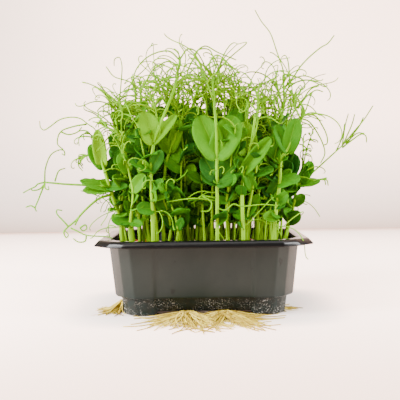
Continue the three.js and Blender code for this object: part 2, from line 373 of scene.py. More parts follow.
def pattern(tree: bpy.types.NodeTree, size: float, detail: float = 3.0, stretch: Point = (1, 1, 1),
            rough: float = 0.55) -> bpy.types.NodeSocket:
    """Adds noise on the piece's own coordinates.

    Args:
        tree: The material's node tree.
        size: The width of its spots in mm.
        detail: How many finer layers it has.
        stretch: How much the spots are drawn out along each axis.
        rough: How strong the finer layers are.

    Returns:
        The noise, from 0 to 1.
    """
    place = add_node(tree, "TexCoord").outputs["Object"]
    scale = tuple(1 / s for s in stretch)
    mapped = add_node(tree, "Mapping", {"Vector": place, "Scale": scale}).outputs[0]
    return add_node(tree, "TexNoise", {"Vector": mapped, "Scale": 1 / (size * MM), "Detail": detail,
                                       "Roughness": rough}).outputs[0]


def height_in_mm(tree: bpy.types.NodeTree) -> bpy.types.NodeSocket:
    """Returns how high the surface point lies above the floor, in mm."""
    place = add_node(tree, "TexCoord").outputs["Object"]
    z = add_node(tree, "SeparateXYZ", {0: place}).outputs["Z"]
    return math_node(tree, "MULTIPLY", z, 1 / MM)


@dataclass(frozen=True)
class MouldedPolypropylene(Finish):
    """Black polypropylene sheet, vacuum formed over a mould.

    The sheet is glossy where it is clean, hazed with dried water marks on its sides, painted
    near black on its rim as painted shade, and powdered with pale mineral dust on its base, where
    roots and water have crept out.

    Attributes:
        rim: Where the painted shade of the rim, near black, begins, in mm.
        base: Where the dust of the base ends, in mm.
    """

    rim: float = 46.5
    base: float = 11.0

    def paint(self, tree: bpy.types.NodeTree) -> tuple[Any, Any]:
        """Makes the black sheet, its haze and its dust. Args and Returns are Finish.paint's."""
        haze = spread(tree, pattern(tree, 26, 4, (1, 1, 1.6)), 0.38, 0.72)
        black = blend(tree, haze, linear("#121a18"), linear("#191f1d"))
        smudge = spread(tree, pattern(tree, 7, 2), 0.66, 0.78)
        marked = blend(tree, math_node(tree, "MULTIPLY", smudge, 0.55), black, linear("#030605"))
        z = height_in_mm(tree)
        # Painted shade: the sheet above the rim height is painted near black.
        marked = blend(tree, spread(tree, z, self.rim, self.rim + 2.0), marked, linear("#050505"))
        low = math_node(tree, "SUBTRACT", 1.0, spread(tree, z, self.base, self.base + 2.6))
        patch = spread(tree, pattern(tree, 9, 3), 0.36, 0.66)
        grain = spread(tree, pattern(tree, 0.95, 2, rough=0.7), 0.54, 0.66)
        dust = math_node(tree, "MULTIPLY", math_node(tree, "MULTIPLY", low, patch), grain)
        soil = spread(tree, pattern(tree, 4, 3), 0.42, 0.6)
        earthy = blend(tree, math_node(tree, "MULTIPLY", math_node(tree, "MULTIPLY", low, soil), 0.5),
                       marked, linear("#1d1b17"))
        colour = blend(tree, math_node(tree, "MULTIPLY", dust, 0.65), earthy, linear("#9c9a92"))
        skin = math_node(tree, "MULTIPLY", pattern(tree, 0.9, 2), 0.02)
        wave = math_node(tree, "MULTIPLY", pattern(tree, 16, 1, (1, 1, 3)), 0.5)
        bumps = math_node(tree, "ADD", math_node(tree, "ADD", skin, wave),
                          math_node(tree, "MULTIPLY", dust, 0.25))
        return colour, bumps


@dataclass(frozen=True)
class MoistPeat(Finish):
    """Moist milled peat and coir, rolled to crumbs, with dark fibres."""

    def paint(self, tree: bpy.types.NodeTree) -> tuple[Any, Any]:
        """Makes the crumbs and fibres. Args and Returns are Finish.paint's."""
        crumb = pattern(tree, 2.2, 5)
        colour = ramp(tree, crumb, [(0.3, "#110b06"), (0.5, "#241810"), (0.62, "#3c2916"),
                                    (0.75, "#5a3f20")])
        return colour, math_node(tree, "MULTIPLY", crumb, 1.2)


@dataclass(frozen=True)
class ExpandedPerlite(Finish):
    """Expanded perlite: white glassy foam crushed to grains."""

    def paint(self, tree: bpy.types.NodeTree) -> tuple[Any, Any]:
        """Makes pitted off-white grains. Args and Returns are Finish.paint's."""
        pits = pattern(tree, 0.5, 3)
        colour = ramp(tree, pits, [(0.35, "#a59d8a"), (0.5, "#e6e1d3"), (0.7, "#f7f4ec")])
        return colour, math_node(tree, "MULTIPLY", pits, 0.3)


@dataclass(frozen=True)
class SoakedSeedCoat(Finish):
    """The coat of a soaked field pea: orange brown, wrinkled and blotched."""

    def paint(self, tree: bpy.types.NodeTree) -> tuple[Any, Any]:
        """Makes blotches and wrinkles. Args and Returns are Finish.paint's."""
        blotch = pattern(tree, 3.4, 4)
        colour = ramp(tree, blotch, [(0.3, "#4d1e05"), (0.45, "#8a3808"), (0.6, "#a65a12"),
                                     (0.75, "#a17a2c")])
        wrinkle = pattern(tree, 1.6, 3)
        return colour, math_node(tree, "MULTIPLY", wrinkle, 0.45)


@dataclass(frozen=True)
class LivingRoot(Finish):
    """A young pea root: cream, stained brown where it has left the soil."""

    def paint(self, tree: bpy.types.NodeTree) -> tuple[Any, Any]:
        """Makes the cream, with a brown stain by tint and in blotches. See Finish.paint."""
        tint = add_node(tree, "Attribute", attribute_name="tint").outputs["Fac"]
        blotch = pattern(tree, 5, 3)
        shade = math_node(tree, "ADD", tint, math_node(tree, "MULTIPLY", blotch, 0.7))
        colour = ramp(tree, shade, [(0.3, "#3c2906"), (0.5, "#634d10"), (0.75, "#85701e"),
                                    (1.0, "#b29e44")])
        return colour, math_node(tree, "MULTIPLY", pattern(tree, 0.8, 2), 0.12)


@dataclass(frozen=True)
class LivingStem(Finish):
    """The juicy skin of a pea stem, pale at its foot, ribbed along, greener and brighter above."""

    def paint(self, tree: bpy.types.NodeTree) -> tuple[Any, Any]:
        """Makes the green from the strand's tint and its height. See Finish.paint."""
        tint = add_node(tree, "Attribute", attribute_name="tint").outputs["Fac"]
        z = spread(tree, height_in_mm(tree), 38.0, 125.0)
        shade = math_node(tree, "ADD", math_node(tree, "MULTIPLY", z, 0.45),
                          math_node(tree, "MULTIPLY", tint, 0.55))
        base = ramp(tree, shade, [(0.0, "#628a02"), (0.2, "#618e00"), (0.5, "#4b7e00"),
                                  (0.75, "#446e00"), (1.0, "#5a8000")])
        streak = pattern(tree, 1.1, 2, (1, 1, 14))
        colour = blend(tree, spread(tree, streak, 0.45, 0.75), base, linear("#669404"))
        return colour, math_node(tree, "MULTIPLY", streak, 0.25)


@dataclass(frozen=True)
class LivingLeaf(Finish):
    """A pea stipule: waxy green blade with a pale midrib and veins that leave it at a slant.

    Attributes:
        through: The share of the light that passes through the blade.
    """

    through: float = 0.3

    def paint(self, tree: bpy.types.NodeTree) -> tuple[Any, Any]:
        """Makes the blade's green and its veins from the leaf's own UV map. See Finish.paint."""
        tint = add_node(tree, "Attribute", attribute_name="tint").outputs["Fac"]
        mottle = math_node(tree, "MULTIPLY_ADD", pattern(tree, 4, 3), 0.24, -0.12)
        # The tint's light yellow end is partly painted light, for leaves lit through from the back left.
        base = ramp(tree, math_node(tree, "ADD", tint, mottle), [
            (0.0, "#103a0e"), (0.2, "#1b4f0e"), (0.4, "#2e6a08"), (0.6, "#447c02"),
            (0.8, "#528600"), (1.0, "#5f8e00")])
        uv = add_node(tree, "UVMap", uv_map="blade").outputs[0]
        parts = add_node(tree, "SeparateXYZ", {0: uv})
        across = math_node(tree, "ABSOLUTE", math_node(tree, "SUBTRACT", parts.outputs[0], 0.5))
        along = parts.outputs[1]
        rib = math_node(tree, "SUBTRACT", 1.0, spread(tree, across, 0.008, 0.035))
        slant = math_node(tree, "MULTIPLY_ADD", across, -1.1, along)
        wave = math_node(tree, "PINGPONG", math_node(tree, "MULTIPLY", slant, 8.0), 0.5)
        side = math_node(tree, "SUBTRACT", 1.0, spread(tree, wave, 0.02, 0.09))
        mesh_vein = spread(tree, pattern(tree, 1.5, 2), 0.6, 0.75)
        vein = math_node(tree, "MAXIMUM", rib, math_node(tree, "MULTIPLY", side, 0.5))
        pale = linear("#70a018")
        colour = blend(tree, math_node(tree, "MULTIPLY", vein, 0.22), base, pale)
        colour = blend(tree, math_node(tree, "MULTIPLY", mesh_vein, 0.12), colour, pale)
        height = math_node(tree, "MULTIPLY", math_node(tree, "ADD", vein, mesh_vein), -0.16)
        return colour, height

    def surface(self, tree: bpy.types.NodeTree, shader: bpy.types.Node,
                colour: bpy.types.NodeSocket) -> bpy.types.NodeSocket:
        """Adds the light that passes through the blade. Args and Returns are Finish.surface's."""
        glow = blend(tree, 0.4, colour, linear("#529000"))
        passed = add_node(tree, "BsdfTranslucent", {"Color": glow})
        return add_node(tree, "MixShader", {0: self.through, 1: shader.outputs[0],
                                            2: passed.outputs[0]}).outputs[0]


@dataclass(frozen=True)
class StudioSheet(Finish):
    """Matt translucent sheet of a product table, lit from behind, with a painted shadow of the tray
    where it glows dimmer under and round it.

    The camera sees only its inner side, so that it doesn't hide the tray from behind.

    Attributes:
        colour: Its sRGB colour where it is level.
        bent: Its sRGB colour where it stands up, greyer than the level part as painted shade.
        light: The sRGB colour of the light behind it.
        table: How brightly its level part glows.
        wall: How brightly its upright part glows.
        shade: Half the length and depth of the painted shadow under the tray, in mm.
        far: From where to where along Y the level part grows dimmer, in mm.
        left: From where to where along X the upright part grows brighter, in mm.
    """

    colour: str = "#ddd2cb"
    bent: str = "#a9a5a2"
    light: str = "#ffcbb2"
    table: float = 3.3
    wall: float = 4.0
    shade: tuple[float, float] = (68.0, 45.0)
    far: tuple[float, float] = (330.0, 560.0)
    left: tuple[float, float] = (-390.0, -50.0)

    def paint(self, tree: bpy.types.NodeTree) -> tuple[Any, Any]:
        """Makes the white table, painted greyer as shade where it bends up. Args and Returns are
        Finish.paint's.
        """
        bent = spread(tree, height_in_mm(tree), 0.0, 4.0)
        # Painted shade: the upright part takes the greyer colour bent.
        return blend(tree, bent, linear(self.colour), linear(self.bent)), None

    def table_glow(self, tree: bpy.types.NodeTree, x: bpy.types.NodeSocket,
                   y: bpy.types.NodeSocket) -> bpy.types.NodeSocket:
        """Returns how brightly the level part glows, with a painted shadow under the tray. x and y are in
        mm.
        """
        sides = [math_node(tree, "POWER", math_node(tree, "ABSOLUTE", math_node(
            tree, "MULTIPLY", place, 1 / half)), 4) for place, half in zip((x, y), self.shade)]
        # Painted shadow of the tray: the glow falls almost to nothing under and round it.
        under = spread(tree, math_node(tree, "ADD", *sides), 0.3, 6.0)
        lit = math_node(tree, "MULTIPLY_ADD", under, 0.98, 0.02)
        far = math_node(tree, "MULTIPLY_ADD", spread(tree, y, *self.far), -0.5, 1.0)
        return math_node(tree, "MULTIPLY", math_node(tree, "MULTIPLY", far, lit), self.table)

    def wall_glow(self, tree: bpy.types.NodeTree, x: bpy.types.NodeSocket,
                  z: bpy.types.NodeSocket) -> bpy.types.NodeSocket:
        """Returns how brightly the upright part glows, dim at its foot and left. x and z are in mm."""
        upright = math_node(tree, "MULTIPLY_ADD", spread(tree, z, 6.0, 200.0), 0.85, 0.15)
        left = math_node(tree, "MULTIPLY_ADD", spread(tree, x, *self.left), 0.7, 0.3)
        return math_node(tree, "MULTIPLY", math_node(tree, "MULTIPLY", upright, left), self.wall)

    def surface(self, tree: bpy.types.NodeTree, shader: bpy.types.Node,
                colour: Any) -> bpy.types.NodeSocket:
        """Adds the light from behind. Args and Returns are Finish.surface's."""
        place = add_node(tree, "SeparateXYZ", {0: add_node(tree, "TexCoord").outputs["Object"]})
        x, y, z = (math_node(tree, "MULTIPLY", place.outputs[axis], 1 / MM) for axis in "XYZ")
        level = math_node(tree, "SUBTRACT", 1.0, spread(tree, z, 0.0, 3.0))
        power = add_node(tree, "Mix", {0: level, 2: self.wall_glow(tree, x, z),
                                       3: self.table_glow(tree, x, y)}).outputs[0]
        glow = add_node(tree, "Emission", {"Color": linear(self.light), "Strength": power})
        lit = add_node(tree, "AddShader", {0: shader.outputs[0], 1: glow.outputs[0]}).outputs[0]
        clear = add_node(tree, "BsdfTransparent").outputs[0]
        outer = math_node(tree, "SUBTRACT", 1.0, add_node(tree, "NewGeometry").outputs["Backfacing"])
        behind = math_node(tree, "MULTIPLY", outer, add_node(tree, "LightPath").outputs["Is Camera Ray"])
        return add_node(tree, "MixShader", {0: behind, 1: lit, 2: clear}).outputs[0]


# ---------------------------------------------------------------- the tray


@dataclass
class Outline:
    """The tray's outline at one level.

    Attributes:
        x: Half its length in mm.
        y: Half its depth in mm.
        cut_x: How far the corner is cut back along the length.
        cut_y: How far the corner is cut back along the depth.
    """

    x: float
    y: float
    cut_x: float
    cut_y: float

    def corners(self, panel: float, set_back: float) -> list[tuple[float, float, float]]:
        """Works out the outline's corners.

        Args:
            panel: Half the length of the panel on each long side.
            set_back: How far the panel is set back.

        Returns:
            X, Y and rounding of each corner, anticlockwise from the right-hand side.
        """
        step, wide, fine = 2.6, 1.1, 1.2
        quarter = [
            (self.x, self.y - self.cut_y, wide),
            (self.x - self.cut_x * 0.48, self.y - self.cut_y * 0.36, wide),
            (self.x - self.cut_x, self.y, wide),
            (panel + step, self.y, fine),
            (panel, self.y - set_back, fine),
        ]
        half = quarter + [(-x, y, r) for x, y, r in reversed(quarter)]
        return half + [(-x, -y, r) for x, y, r in half]

    def ring(self, z: float, panel: float, set_back: float) -> list[Vector]:
        """Rounds the corners and lays the outline at a height.

        Args:
            z: The height.
            panel: Half the length of the panel on each long side.
            set_back: How far the panel is set back.

        Returns:
            The ring's points, as many at every level.
        """
        corners = [(Vector((x, y, z)), r) for x, y, r in self.corners(panel, set_back)]
        points = []
        for (before, _), (corner, r), (after, _) in zip(
                corners[-1:] + corners[:-1], corners, corners[1:] + corners[:1]):
            points += bend_round(before, corner, after, r)
        return points


def bend_round(before: Vector, corner: Vector, after: Vector, reach: float) -> list[Vector]:
    """Rounds one corner of a route.

    Args:
        before: The point before the corner.
        corner: The corner.
        after: The point after it.
        reach: How far back along each side the rounding starts, at most.

    Returns:
        Five points of the rounded corner.
    """
    reach = min(reach, (before - corner).length * 0.48, (after - corner).length * 0.48)
    start = corner + (before - corner).normalized() * reach
    end = corner + (after - corner).normalized() * reach
    return [start.lerp(corner, t).lerp(corner.lerp(end, t), t) for t in (0, 0.25, 0.5, 0.75, 1)]


@dataclass
class Tray:
    """The thermoformed tray.

    Attributes:
        sheet: The sheet's thickness.
        skirt_drop: How far the rim's edge is turned down.
        body_foot: Where the body ends and the narrower base begins.
        floor_rise: How high the floor stands above the feet.
        panel: Half the length of the set-back panel.
        set_back: How far the panel is set back.
        foot_gap: Half the gap between the feet at the tray's ends.
    """

    sheet: float = 0.7
    skirt_drop: float = 3.4
    body_foot: float = 12.8
    floor_rise: float = 3.5
    panel: float = 31.7
    set_back: float = 1.1
    foot_gap: float = 14.0

    def levels(self) -> list[tuple[float, Outline, float, float]]:
        """Lists the outside surface's outlines from the underside up to the rim and down its skirt.

        Returns:
            Height, outline, panel set-back and rounding of each.
        """
        _, high = box_of("tray")
        top, edge_x, edge_y = high.z, high.x, high.y
        return [
            (0.0, Outline(50.0, 27.0, 8.0, 7.5), self.set_back, 0.0),
            (0.0, Outline(55.6, 32.6, 9.3, 8.8), self.set_back, 1.6),
            (self.body_foot - 0.5, Outline(57.0, 33.8, 9.5, 9.0), self.set_back, 0.8),
            (self.body_foot, Outline(61.5, 38.3, 15.0, 15.0), self.set_back, 1.8),
            (top, Outline(65.2, 41.7, 15.5, 15.0), self.set_back, 1.2),
            (top, Outline(edge_x - 3.2, edge_y - 3.2, 19.5, 14.0), 0.4, 0.9),
            (high.z - self.skirt_drop, Outline(edge_x, edge_y, 21.0, 15.0), 0.0, 0.0),
        ]

    def loft(self) -> bpy.types.Mesh:
        """Forms the sheet's outside surface before the feet are parted.

        Returns:
            An open shell in mm, its faces pointing out of the tray.
        """
        plain = [outline.ring(z, self.panel, back) for z, outline, back, _ in self.levels()]
        turns = [turn for *_, turn in self.levels()]
        rings = [plain[0]]
        for k in range(1, len(plain) - 1):
            bends = [bend_round(*stack, turns[k]) for stack in zip(plain[k - 1], plain[k], plain[k + 1])]
            rings += [list(ring) for ring in zip(*bends)]
        rings.append(plain[-1])
        bm = bmesh.new()
        loops = []
        for ring in rings:
            verts = [bm.verts.new(point) for point in ring]
            loops.append([bm.edges.new(pair) for pair in zip(verts, verts[1:] + verts[:1])])
        for lower, upper in zip(loops, loops[1:]):
            bmesh.ops.bridge_loops(bm, edges=lower + upper)
        bmesh.ops.contextual_create(bm, geom=loops[0])
        bmesh.ops.recalc_face_normals(bm, faces=bm.faces)
        return mesh_of(bm)

    def channel(self, half: float, along_x: bool) -> bpy.types.Mesh:
        """Makes the shape of the gap between the feet.

        Args:
            half: Half its width.
            along_x: Whether it runs along the tray instead of across it.

        Returns:
            A closed bar with a rounded top, in mm.
        """
        lean, length = 2.0, 90.0
        corners = [Vector(c) for c in ((-half - lean, 0, -2), (half + lean, 0, -2),
                                       (half, 0, self.floor_rise), (-half, 0, self.floor_rise))]
        outline = corners[:2]
        outline += bend_round(corners[1], corners[2], corners[3], 2.4)
        outline += bend_round(corners[2], corners[3], corners[0], 2.4)
        bm = bmesh.new()
        end = bmesh.ops.contextual_create(
            bm, geom=[bm.verts.new(point - Vector((0, length, 0))) for point in outline])["faces"]
        drawn = bmesh.ops.extrude_face_region(bm, geom=end, use_keep_orig=True)["geom"]
        far = [g for g in drawn if isinstance(g, bmesh.types.BMVert)]
        bmesh.ops.translate(bm, verts=far, vec=(0, 2 * length, 0))
        if along_x:
            bmesh.ops.rotate(bm, verts=bm.verts, matrix=Matrix.Rotation(math.radians(90), 3, "Z"))
        bmesh.ops.recalc_face_normals(bm, faces=bm.faces)
        return mesh_of(bm)

    def build(self) -> bpy.types.Mesh:
        """Forms the sheet with its feet parted by the two channels.

        Returns:
            An open shell in mm, its faces pointing out of the tray.
        """
        shell = bpy.data.objects.new("shell", self.loft())
        bpy.context.scene.collection.objects.link(shell)
        tools = []
        for half, along_x in ((self.panel + 0.6, False), (self.foot_gap, True)):
            tool = bpy.data.objects.new("channel", self.channel(half, along_x))
            bpy.context.scene.collection.objects.link(tool)
            cut = shell.modifiers.new("channel", "BOOLEAN")
            cut.operation = "DIFFERENCE"
            cut.object = tool
            tools.append(tool)
        bpy.context.view_layer.update()
        formed = bpy.data.meshes.new_from_object(
            shell.evaluated_get(bpy.context.evaluated_depsgraph_get()))
        for spare in (shell, *tools):
            bpy.data.objects.remove(spare)
        bm = bmesh.new()
        bm.from_mesh(formed)
        bmesh.ops.recalc_face_normals(bm, faces=bm.faces)
        lowest = min(bm.faces, key=lambda face: face.calc_center_median().z)
        if lowest.normal.z > 0:
            bmesh.ops.reverse_faces(bm, faces=bm.faces)
        return mesh_of(bm)

    def dress(self, finish: bpy.types.Material) -> None:
        """Makes the tray's piece. finish is its material."""
        piece = add_piece("tray_shell", self.build(), finish, ["tray"])
        piece.data.set_sharp_from_angle(angle=math.radians(40))
        wall = piece.modifiers.new("sheet thickness", "SOLIDIFY")
        wall.thickness = self.sheet * MM
        wall.offset = -1


# ---------------------------------------------------------------- what lies in the tray


@dataclass
class GrowingMedium:
    """The block of medium with its loose crumbs and mineral grains.

    Attributes:
        cells: How many squares the surface has along its length.
        heave: How high its humps are.
        crumbs: How many loose crumbs lie on it.
        grains: How many mineral grains lie on it.
    """

    cells: int = 84
    heave: float = 1.3
    crumbs: int = 320
    grains: int = 70

    def surface_at(self, x: float, y: float) -> float:
        """Returns the height of the medium at a place, in mm."""
        _, high = box_of("growing_medium")
        lump = noise.noise(Vector((x, y, 0)) * 0.11) * 0.6 + noise.noise(Vector((x, y, 7)) * 0.4) * 0.4
        return high.z - 0.6 + lump * self.heave

    def build(self) -> bpy.types.Mesh:
        """Makes the block: an uneven top on a tapered body.

        Returns:
            A closed mesh in mm.
        """
        low, high = box_of("growing_medium")
        half_x, half_y = high.x - 0.6, high.y - 0.6
        bm = bmesh.new()
        bmesh.ops.create_grid(bm, x_segments=self.cells, y_segments=int(self.cells * 0.62), size=1)
        bmesh.ops.scale(bm, verts=bm.verts, vec=(half_x, half_y, 1))
        for sx in (-1, 1):
            for sy in (-1, 1):
                for x, y, nx, ny in ((half_x - 3.6, half_y - 9.6, 0.8, 0.6),
                                     (half_x - 11.3, half_y - 2.7, 0.6, 0.8)):
                    bmesh.ops.bisect_plane(
                        bm, geom=[*bm.verts, *bm.edges, *bm.faces], dist=1e-5, clear_outer=True,
                        plane_co=(sx * x, sy * y, 0), plane_no=(sx * nx, sy * ny, 0))
        for vert in bm.verts:
            vert.co.z = self.surface_at(vert.co.x, vert.co.y)
        rim = [e for e in bm.edges if e.is_boundary]
        side = bmesh.ops.extrude_edge_only(bm, edges=rim)["geom"]
        hem = [g for g in side if isinstance(g, bmesh.types.BMVert)]
        for vert in hem:
            vert.co = (vert.co.x * 0.86, vert.co.y * 0.8, low.z + 12.0)
        bmesh.ops.holes_fill(bm, edges=[e for e in bm.edges if e.is_boundary])
        bmesh.ops.recalc_face_normals(bm, faces=bm.faces)
        return mesh_of(bm)

    def scatter(self, count: int, small: float, large: float, seed: int) -> bpy.types.Mesh:
        """Scatters lumps over the surface.

        Args:
            count: How many.
            small: The smallest radius.
            large: The largest radius.
            seed: What fixes their places.

        Returns:
            One mesh of closed lumps, in mm.
        """
        rng = Random(seed)
        bm = bmesh.new()
        for _ in range(count):
            x, y = rng.uniform(-58, 58), rng.uniform(-35, 35)
            size = rng.uniform(small, large)
            turn = Matrix.Rotation(rng.uniform(0, math.tau), 4, across_of(UP, rng))
            shape = Matrix.Diagonal((size, size * rng.uniform(0.6, 1), size * rng.uniform(0.5, 0.9), 1))
            place = Matrix.Translation((x, y, self.surface_at(x, y) + size * 0.25))
            bmesh.ops.create_icosphere(bm, subdivisions=1, radius=1, matrix=place @ turn @ shape)
        return mesh_of(bm)

    def dress(self, peat: bpy.types.Material, perlite: bpy.types.Material) -> None:
        """Makes the pieces of the medium. peat and perlite are their materials."""
        add_piece("growing_medium_block", self.build(), peat, ["growing_medium"])
        add_piece("peat_crumbs", self.scatter(self.crumbs, 0.5, 1.5, 11), peat)
        add_piece("perlite_grains", self.scatter(self.grains, 0.4, 1.0, 12), perlite)


@dataclass
class PeaSeeds:
    """The germinated seeds: one piece for each CAD seed, and the rest of the layer as one.

    Attributes:
        medium: The surface that they lie on.
        named: How many seeds have a CAD node.
        extra: How many more lie between the stems.
    """

    medium: GrowingMedium
    named: int = 8
    extra: int = 120

    def add_seed(self, bm: bmesh.types.BMesh, centre: Vector, radius: float, rng: Random,
                 fine: int) -> None:
        """Adds one shrivelled seed.

        Args:
            bm: Where it goes.
            centre: Its middle.
            radius: Its radius.
            rng: What varies it.
            fine: How many sides it has round its waist.
        """
        made = bmesh.ops.create_uvsphere(bm, u_segments=fine, v_segments=fine * 2 // 3, radius=1)
        offset = Vector((rng.uniform(0, 50), rng.uniform(0, 50), rng.uniform(0, 50)))
        for vert in made["verts"]:
            dent, fold = (noise.noise(vert.co * size + offset) for size in (1.3, 3.2))
            vert.co *= radius * (0.97 + (dent * 0.16 + fold * 0.07))
        turn = Matrix.Rotation(rng.uniform(0, math.tau), 4, across_of(UP, rng))
        bmesh.ops.transform(bm, verts=made["verts"], matrix=Matrix.Translation(centre) @ turn)

    def dress(self, coat: bpy.types.Material) -> None:
        """Makes the seeds' pieces. coat is their material."""
        rng = Random(5)
        for number in range(1, self.named + 1):
            node = f"pea_seed_{number:02d}"
            low, high = box_of(node)
            bm = bmesh.new()
            self.add_seed(bm, (low + high) / 2, (high.z - low.z) / 2, rng, 18)
            add_piece(f"{node}_coat", mesh_of(bm), coat, [node])
        bm = bmesh.new()
        for _ in range(self.extra):
            x, y = rng.uniform(-56, 56), rng.uniform(-35, 34)
            radius = rng.uniform(2.6, 3.5)
            layer = rng.uniform(0.4, 1.5) if y > -27 else rng.uniform(1.6, 2.8)
            centre = Vector((x, y, self.medium.surface_at(x, y) + radius * layer))
            self.add_seed(bm, centre, radius, rng, 9)
        add_piece("pea_seed_layer", mesh_of(bm), coat)


# ---------------------------------------------------------------- roots


@dataclass
class RootTuft:
    """The roots that leave the tray by one drain hole and fan out over the surface.

    Attributes:
        place: The tuft's name, as in its CAD node.
        hole: The drain hole's middle.
        hub: Where the roots come out from under the tray and spread.
        toward: The fan's middle direction, in degrees.
        fan: The fan's whole angle.
        reach: The length of its longest root.
        count: How many roots it has.
        pile: How high its roots are heaped where they spread.
    """

    place: str
    hole: tuple[float, float]
    hub: tuple[float, float]
    toward: float
    fan: float
    reach: float
    count: int
    pile: float = 3.2

    def root(self, k: int, rng: Random) -> Strand:
        """Grows one main root.

        Args:
            k: Its number in the tuft.
            rng: What varies it.

        Returns:
            A strand from the drain hole, over the hub and out over the surface.
        """
        side = (k + rng.uniform(0, 1)) / self.count - 0.5
        angle = math.radians(self.toward + side * self.fan)
        length = self.reach * (1 - abs(side) * 0.35) * rng.uniform(0.45, 1.0)
        thick = rng.uniform(0.5, 0.92)
        hub = Vector((self.hub[0] + rng.uniform(-3.5, 3.5), self.hub[1] + rng.uniform(-2.5, 2.5), 0))
        start = Vector((self.hole[0] + rng.uniform(-1.5, 1.5),
                        self.hole[1] + rng.uniform(-1.5, 1.5), 3.2))
        path = [start, start.lerp(hub + UP * 3.0, 0.55), hub + UP * rng.uniform(1.6, 3.4)]
        steps, thin = 9, 0.28
        place, bend = hub.copy(), rng.uniform(-0.16, 0.16)
        lift = rng.uniform(0.3, 1.0) * self.pile
        for step in range(1, steps + 1):
            angle += bend + rng.uniform(-0.3, 0.3)
            place = place + Vector((math.cos(angle), math.sin(angle), 0)) * (length / steps)
            share = step / steps
            radius = lerp(thick, thin, share ** 0.8)
            height = radius + lift * max(0.0, 1 - share * 1.7) + abs(rng.gauss(0, 0.3)) * (1 - share)
            path.append(Vector((place.x, place.y, height)))
        return Strand(smooth_path(path, 2), thick, thin, round(rng.uniform(0.25, 0.7), 1))

    def rootlet(self, parent: Strand, rng: Random) -> Strand:
        """Grows a fine side root.

        Args:
            parent: The root that it leaves.
            rng: What varies it.

        Returns:
            A short thin strand that lies on the surface.
        """
        at = rng.randrange(len(parent.path) // 2, len(parent.path) - 3)
        start = parent.path[at]
        run = parent.path[at + 1] - start
        angle = math.atan2(run.y, run.x) + rng.choice((-1, 1)) * rng.uniform(0.4, 0.9)
        place, path = start.copy(), [start.copy()]
        for _ in range(5):
            angle += rng.uniform(-0.3, 0.3)
            place = place + Vector((math.cos(angle), math.sin(angle), 0)) * rng.uniform(1.2, 2.6)
            path.append(Vector((place.x, place.y, 0.16)))
        return Strand(path, 0.2, 0.08, 0.6)

    def dress(self, finish: bpy.types.Material) -> None:
        """Makes the tuft's piece. finish is its material."""
        rng = Random(f"roots {self.place}")
        roots = [self.root(k, rng) for k in range(self.count)]
        fine = [self.rootlet(rng.choice(roots), rng) for _ in range(self.count // 2)]
        node = f"root_tuft_{self.place}"
        add_piece(f"{node}_strands", strands_to_mesh(roots + fine, 1), finish, [node])


# ---------------------------------------------------------------- shoots


@dataclass
class Leaf:
    """One stipule.

    Attributes:
        height: The height of its node on the stem.
        reach: From the node to its tip.
        width: Its width.
        tint: From 0, dark, to 1, light and yellow: partly old and young leaves, partly painted light on
            the leaves lit through from the back left.
        facing: The way its upper face looks.
        cup: How strongly it is folded along its midrib.
        teeth: How strongly its margin is scalloped.
    """

    height: float
    reach: Point
    width: float
    tint: float
    facing: Point = (0.0, -1.0, 0.35)
    cup: float = 0.25
    teeth: float = 0.0


@dataclass
class Stalk:
    """A leaf stalk that ends in tendrils.

    Attributes:
        height: The height of its node on the stem.
        reach: From the node to its end.
        tendrils: How many tendrils it carries.
        size: The tendrils' length.
        curl: How strongly a tendril's end winds up. 1 is about three quarters of a turn.
        thick: The stalk's radius.
    """

    height: float
    reach: Point
    tendrils: int = 5
    size: float = 35.0
    curl: float = 0.6
    thick: float = 0.75


@dataclass
class ShootPlan:
    """Where one shoot stands and what it carries.

    Attributes:
        foot: Its place on the medium.
        spine: Points of its stem, as X and Z.
        lean: Y at its tip.
        leaves: Its stipules.
        stalks: Its leaf stalks.
        routes: Long tendrils, each as its points.
        thick: The stem's radius at its foot.
        petioles: Leaf stalks without blades, each as its points.
    """

    foot: tuple[float, float]
    spine: list[tuple[float, float]]
    lean: float
    leaves: list[Leaf] = field(default_factory=list)
    stalks: list[Stalk] = field(default_factory=list)
    routes: list[list[Point]] = field(default_factory=list)
    thick: float = 1.5
    petioles: list[list[Point]] = field(default_factory=list)


class Blade(Enum):
    """How finely a leaf's blade is divided, across and along."""

    FRONT = (8, 11)
    BEHIND = (6, 8)
    SMALL = (5, 6)


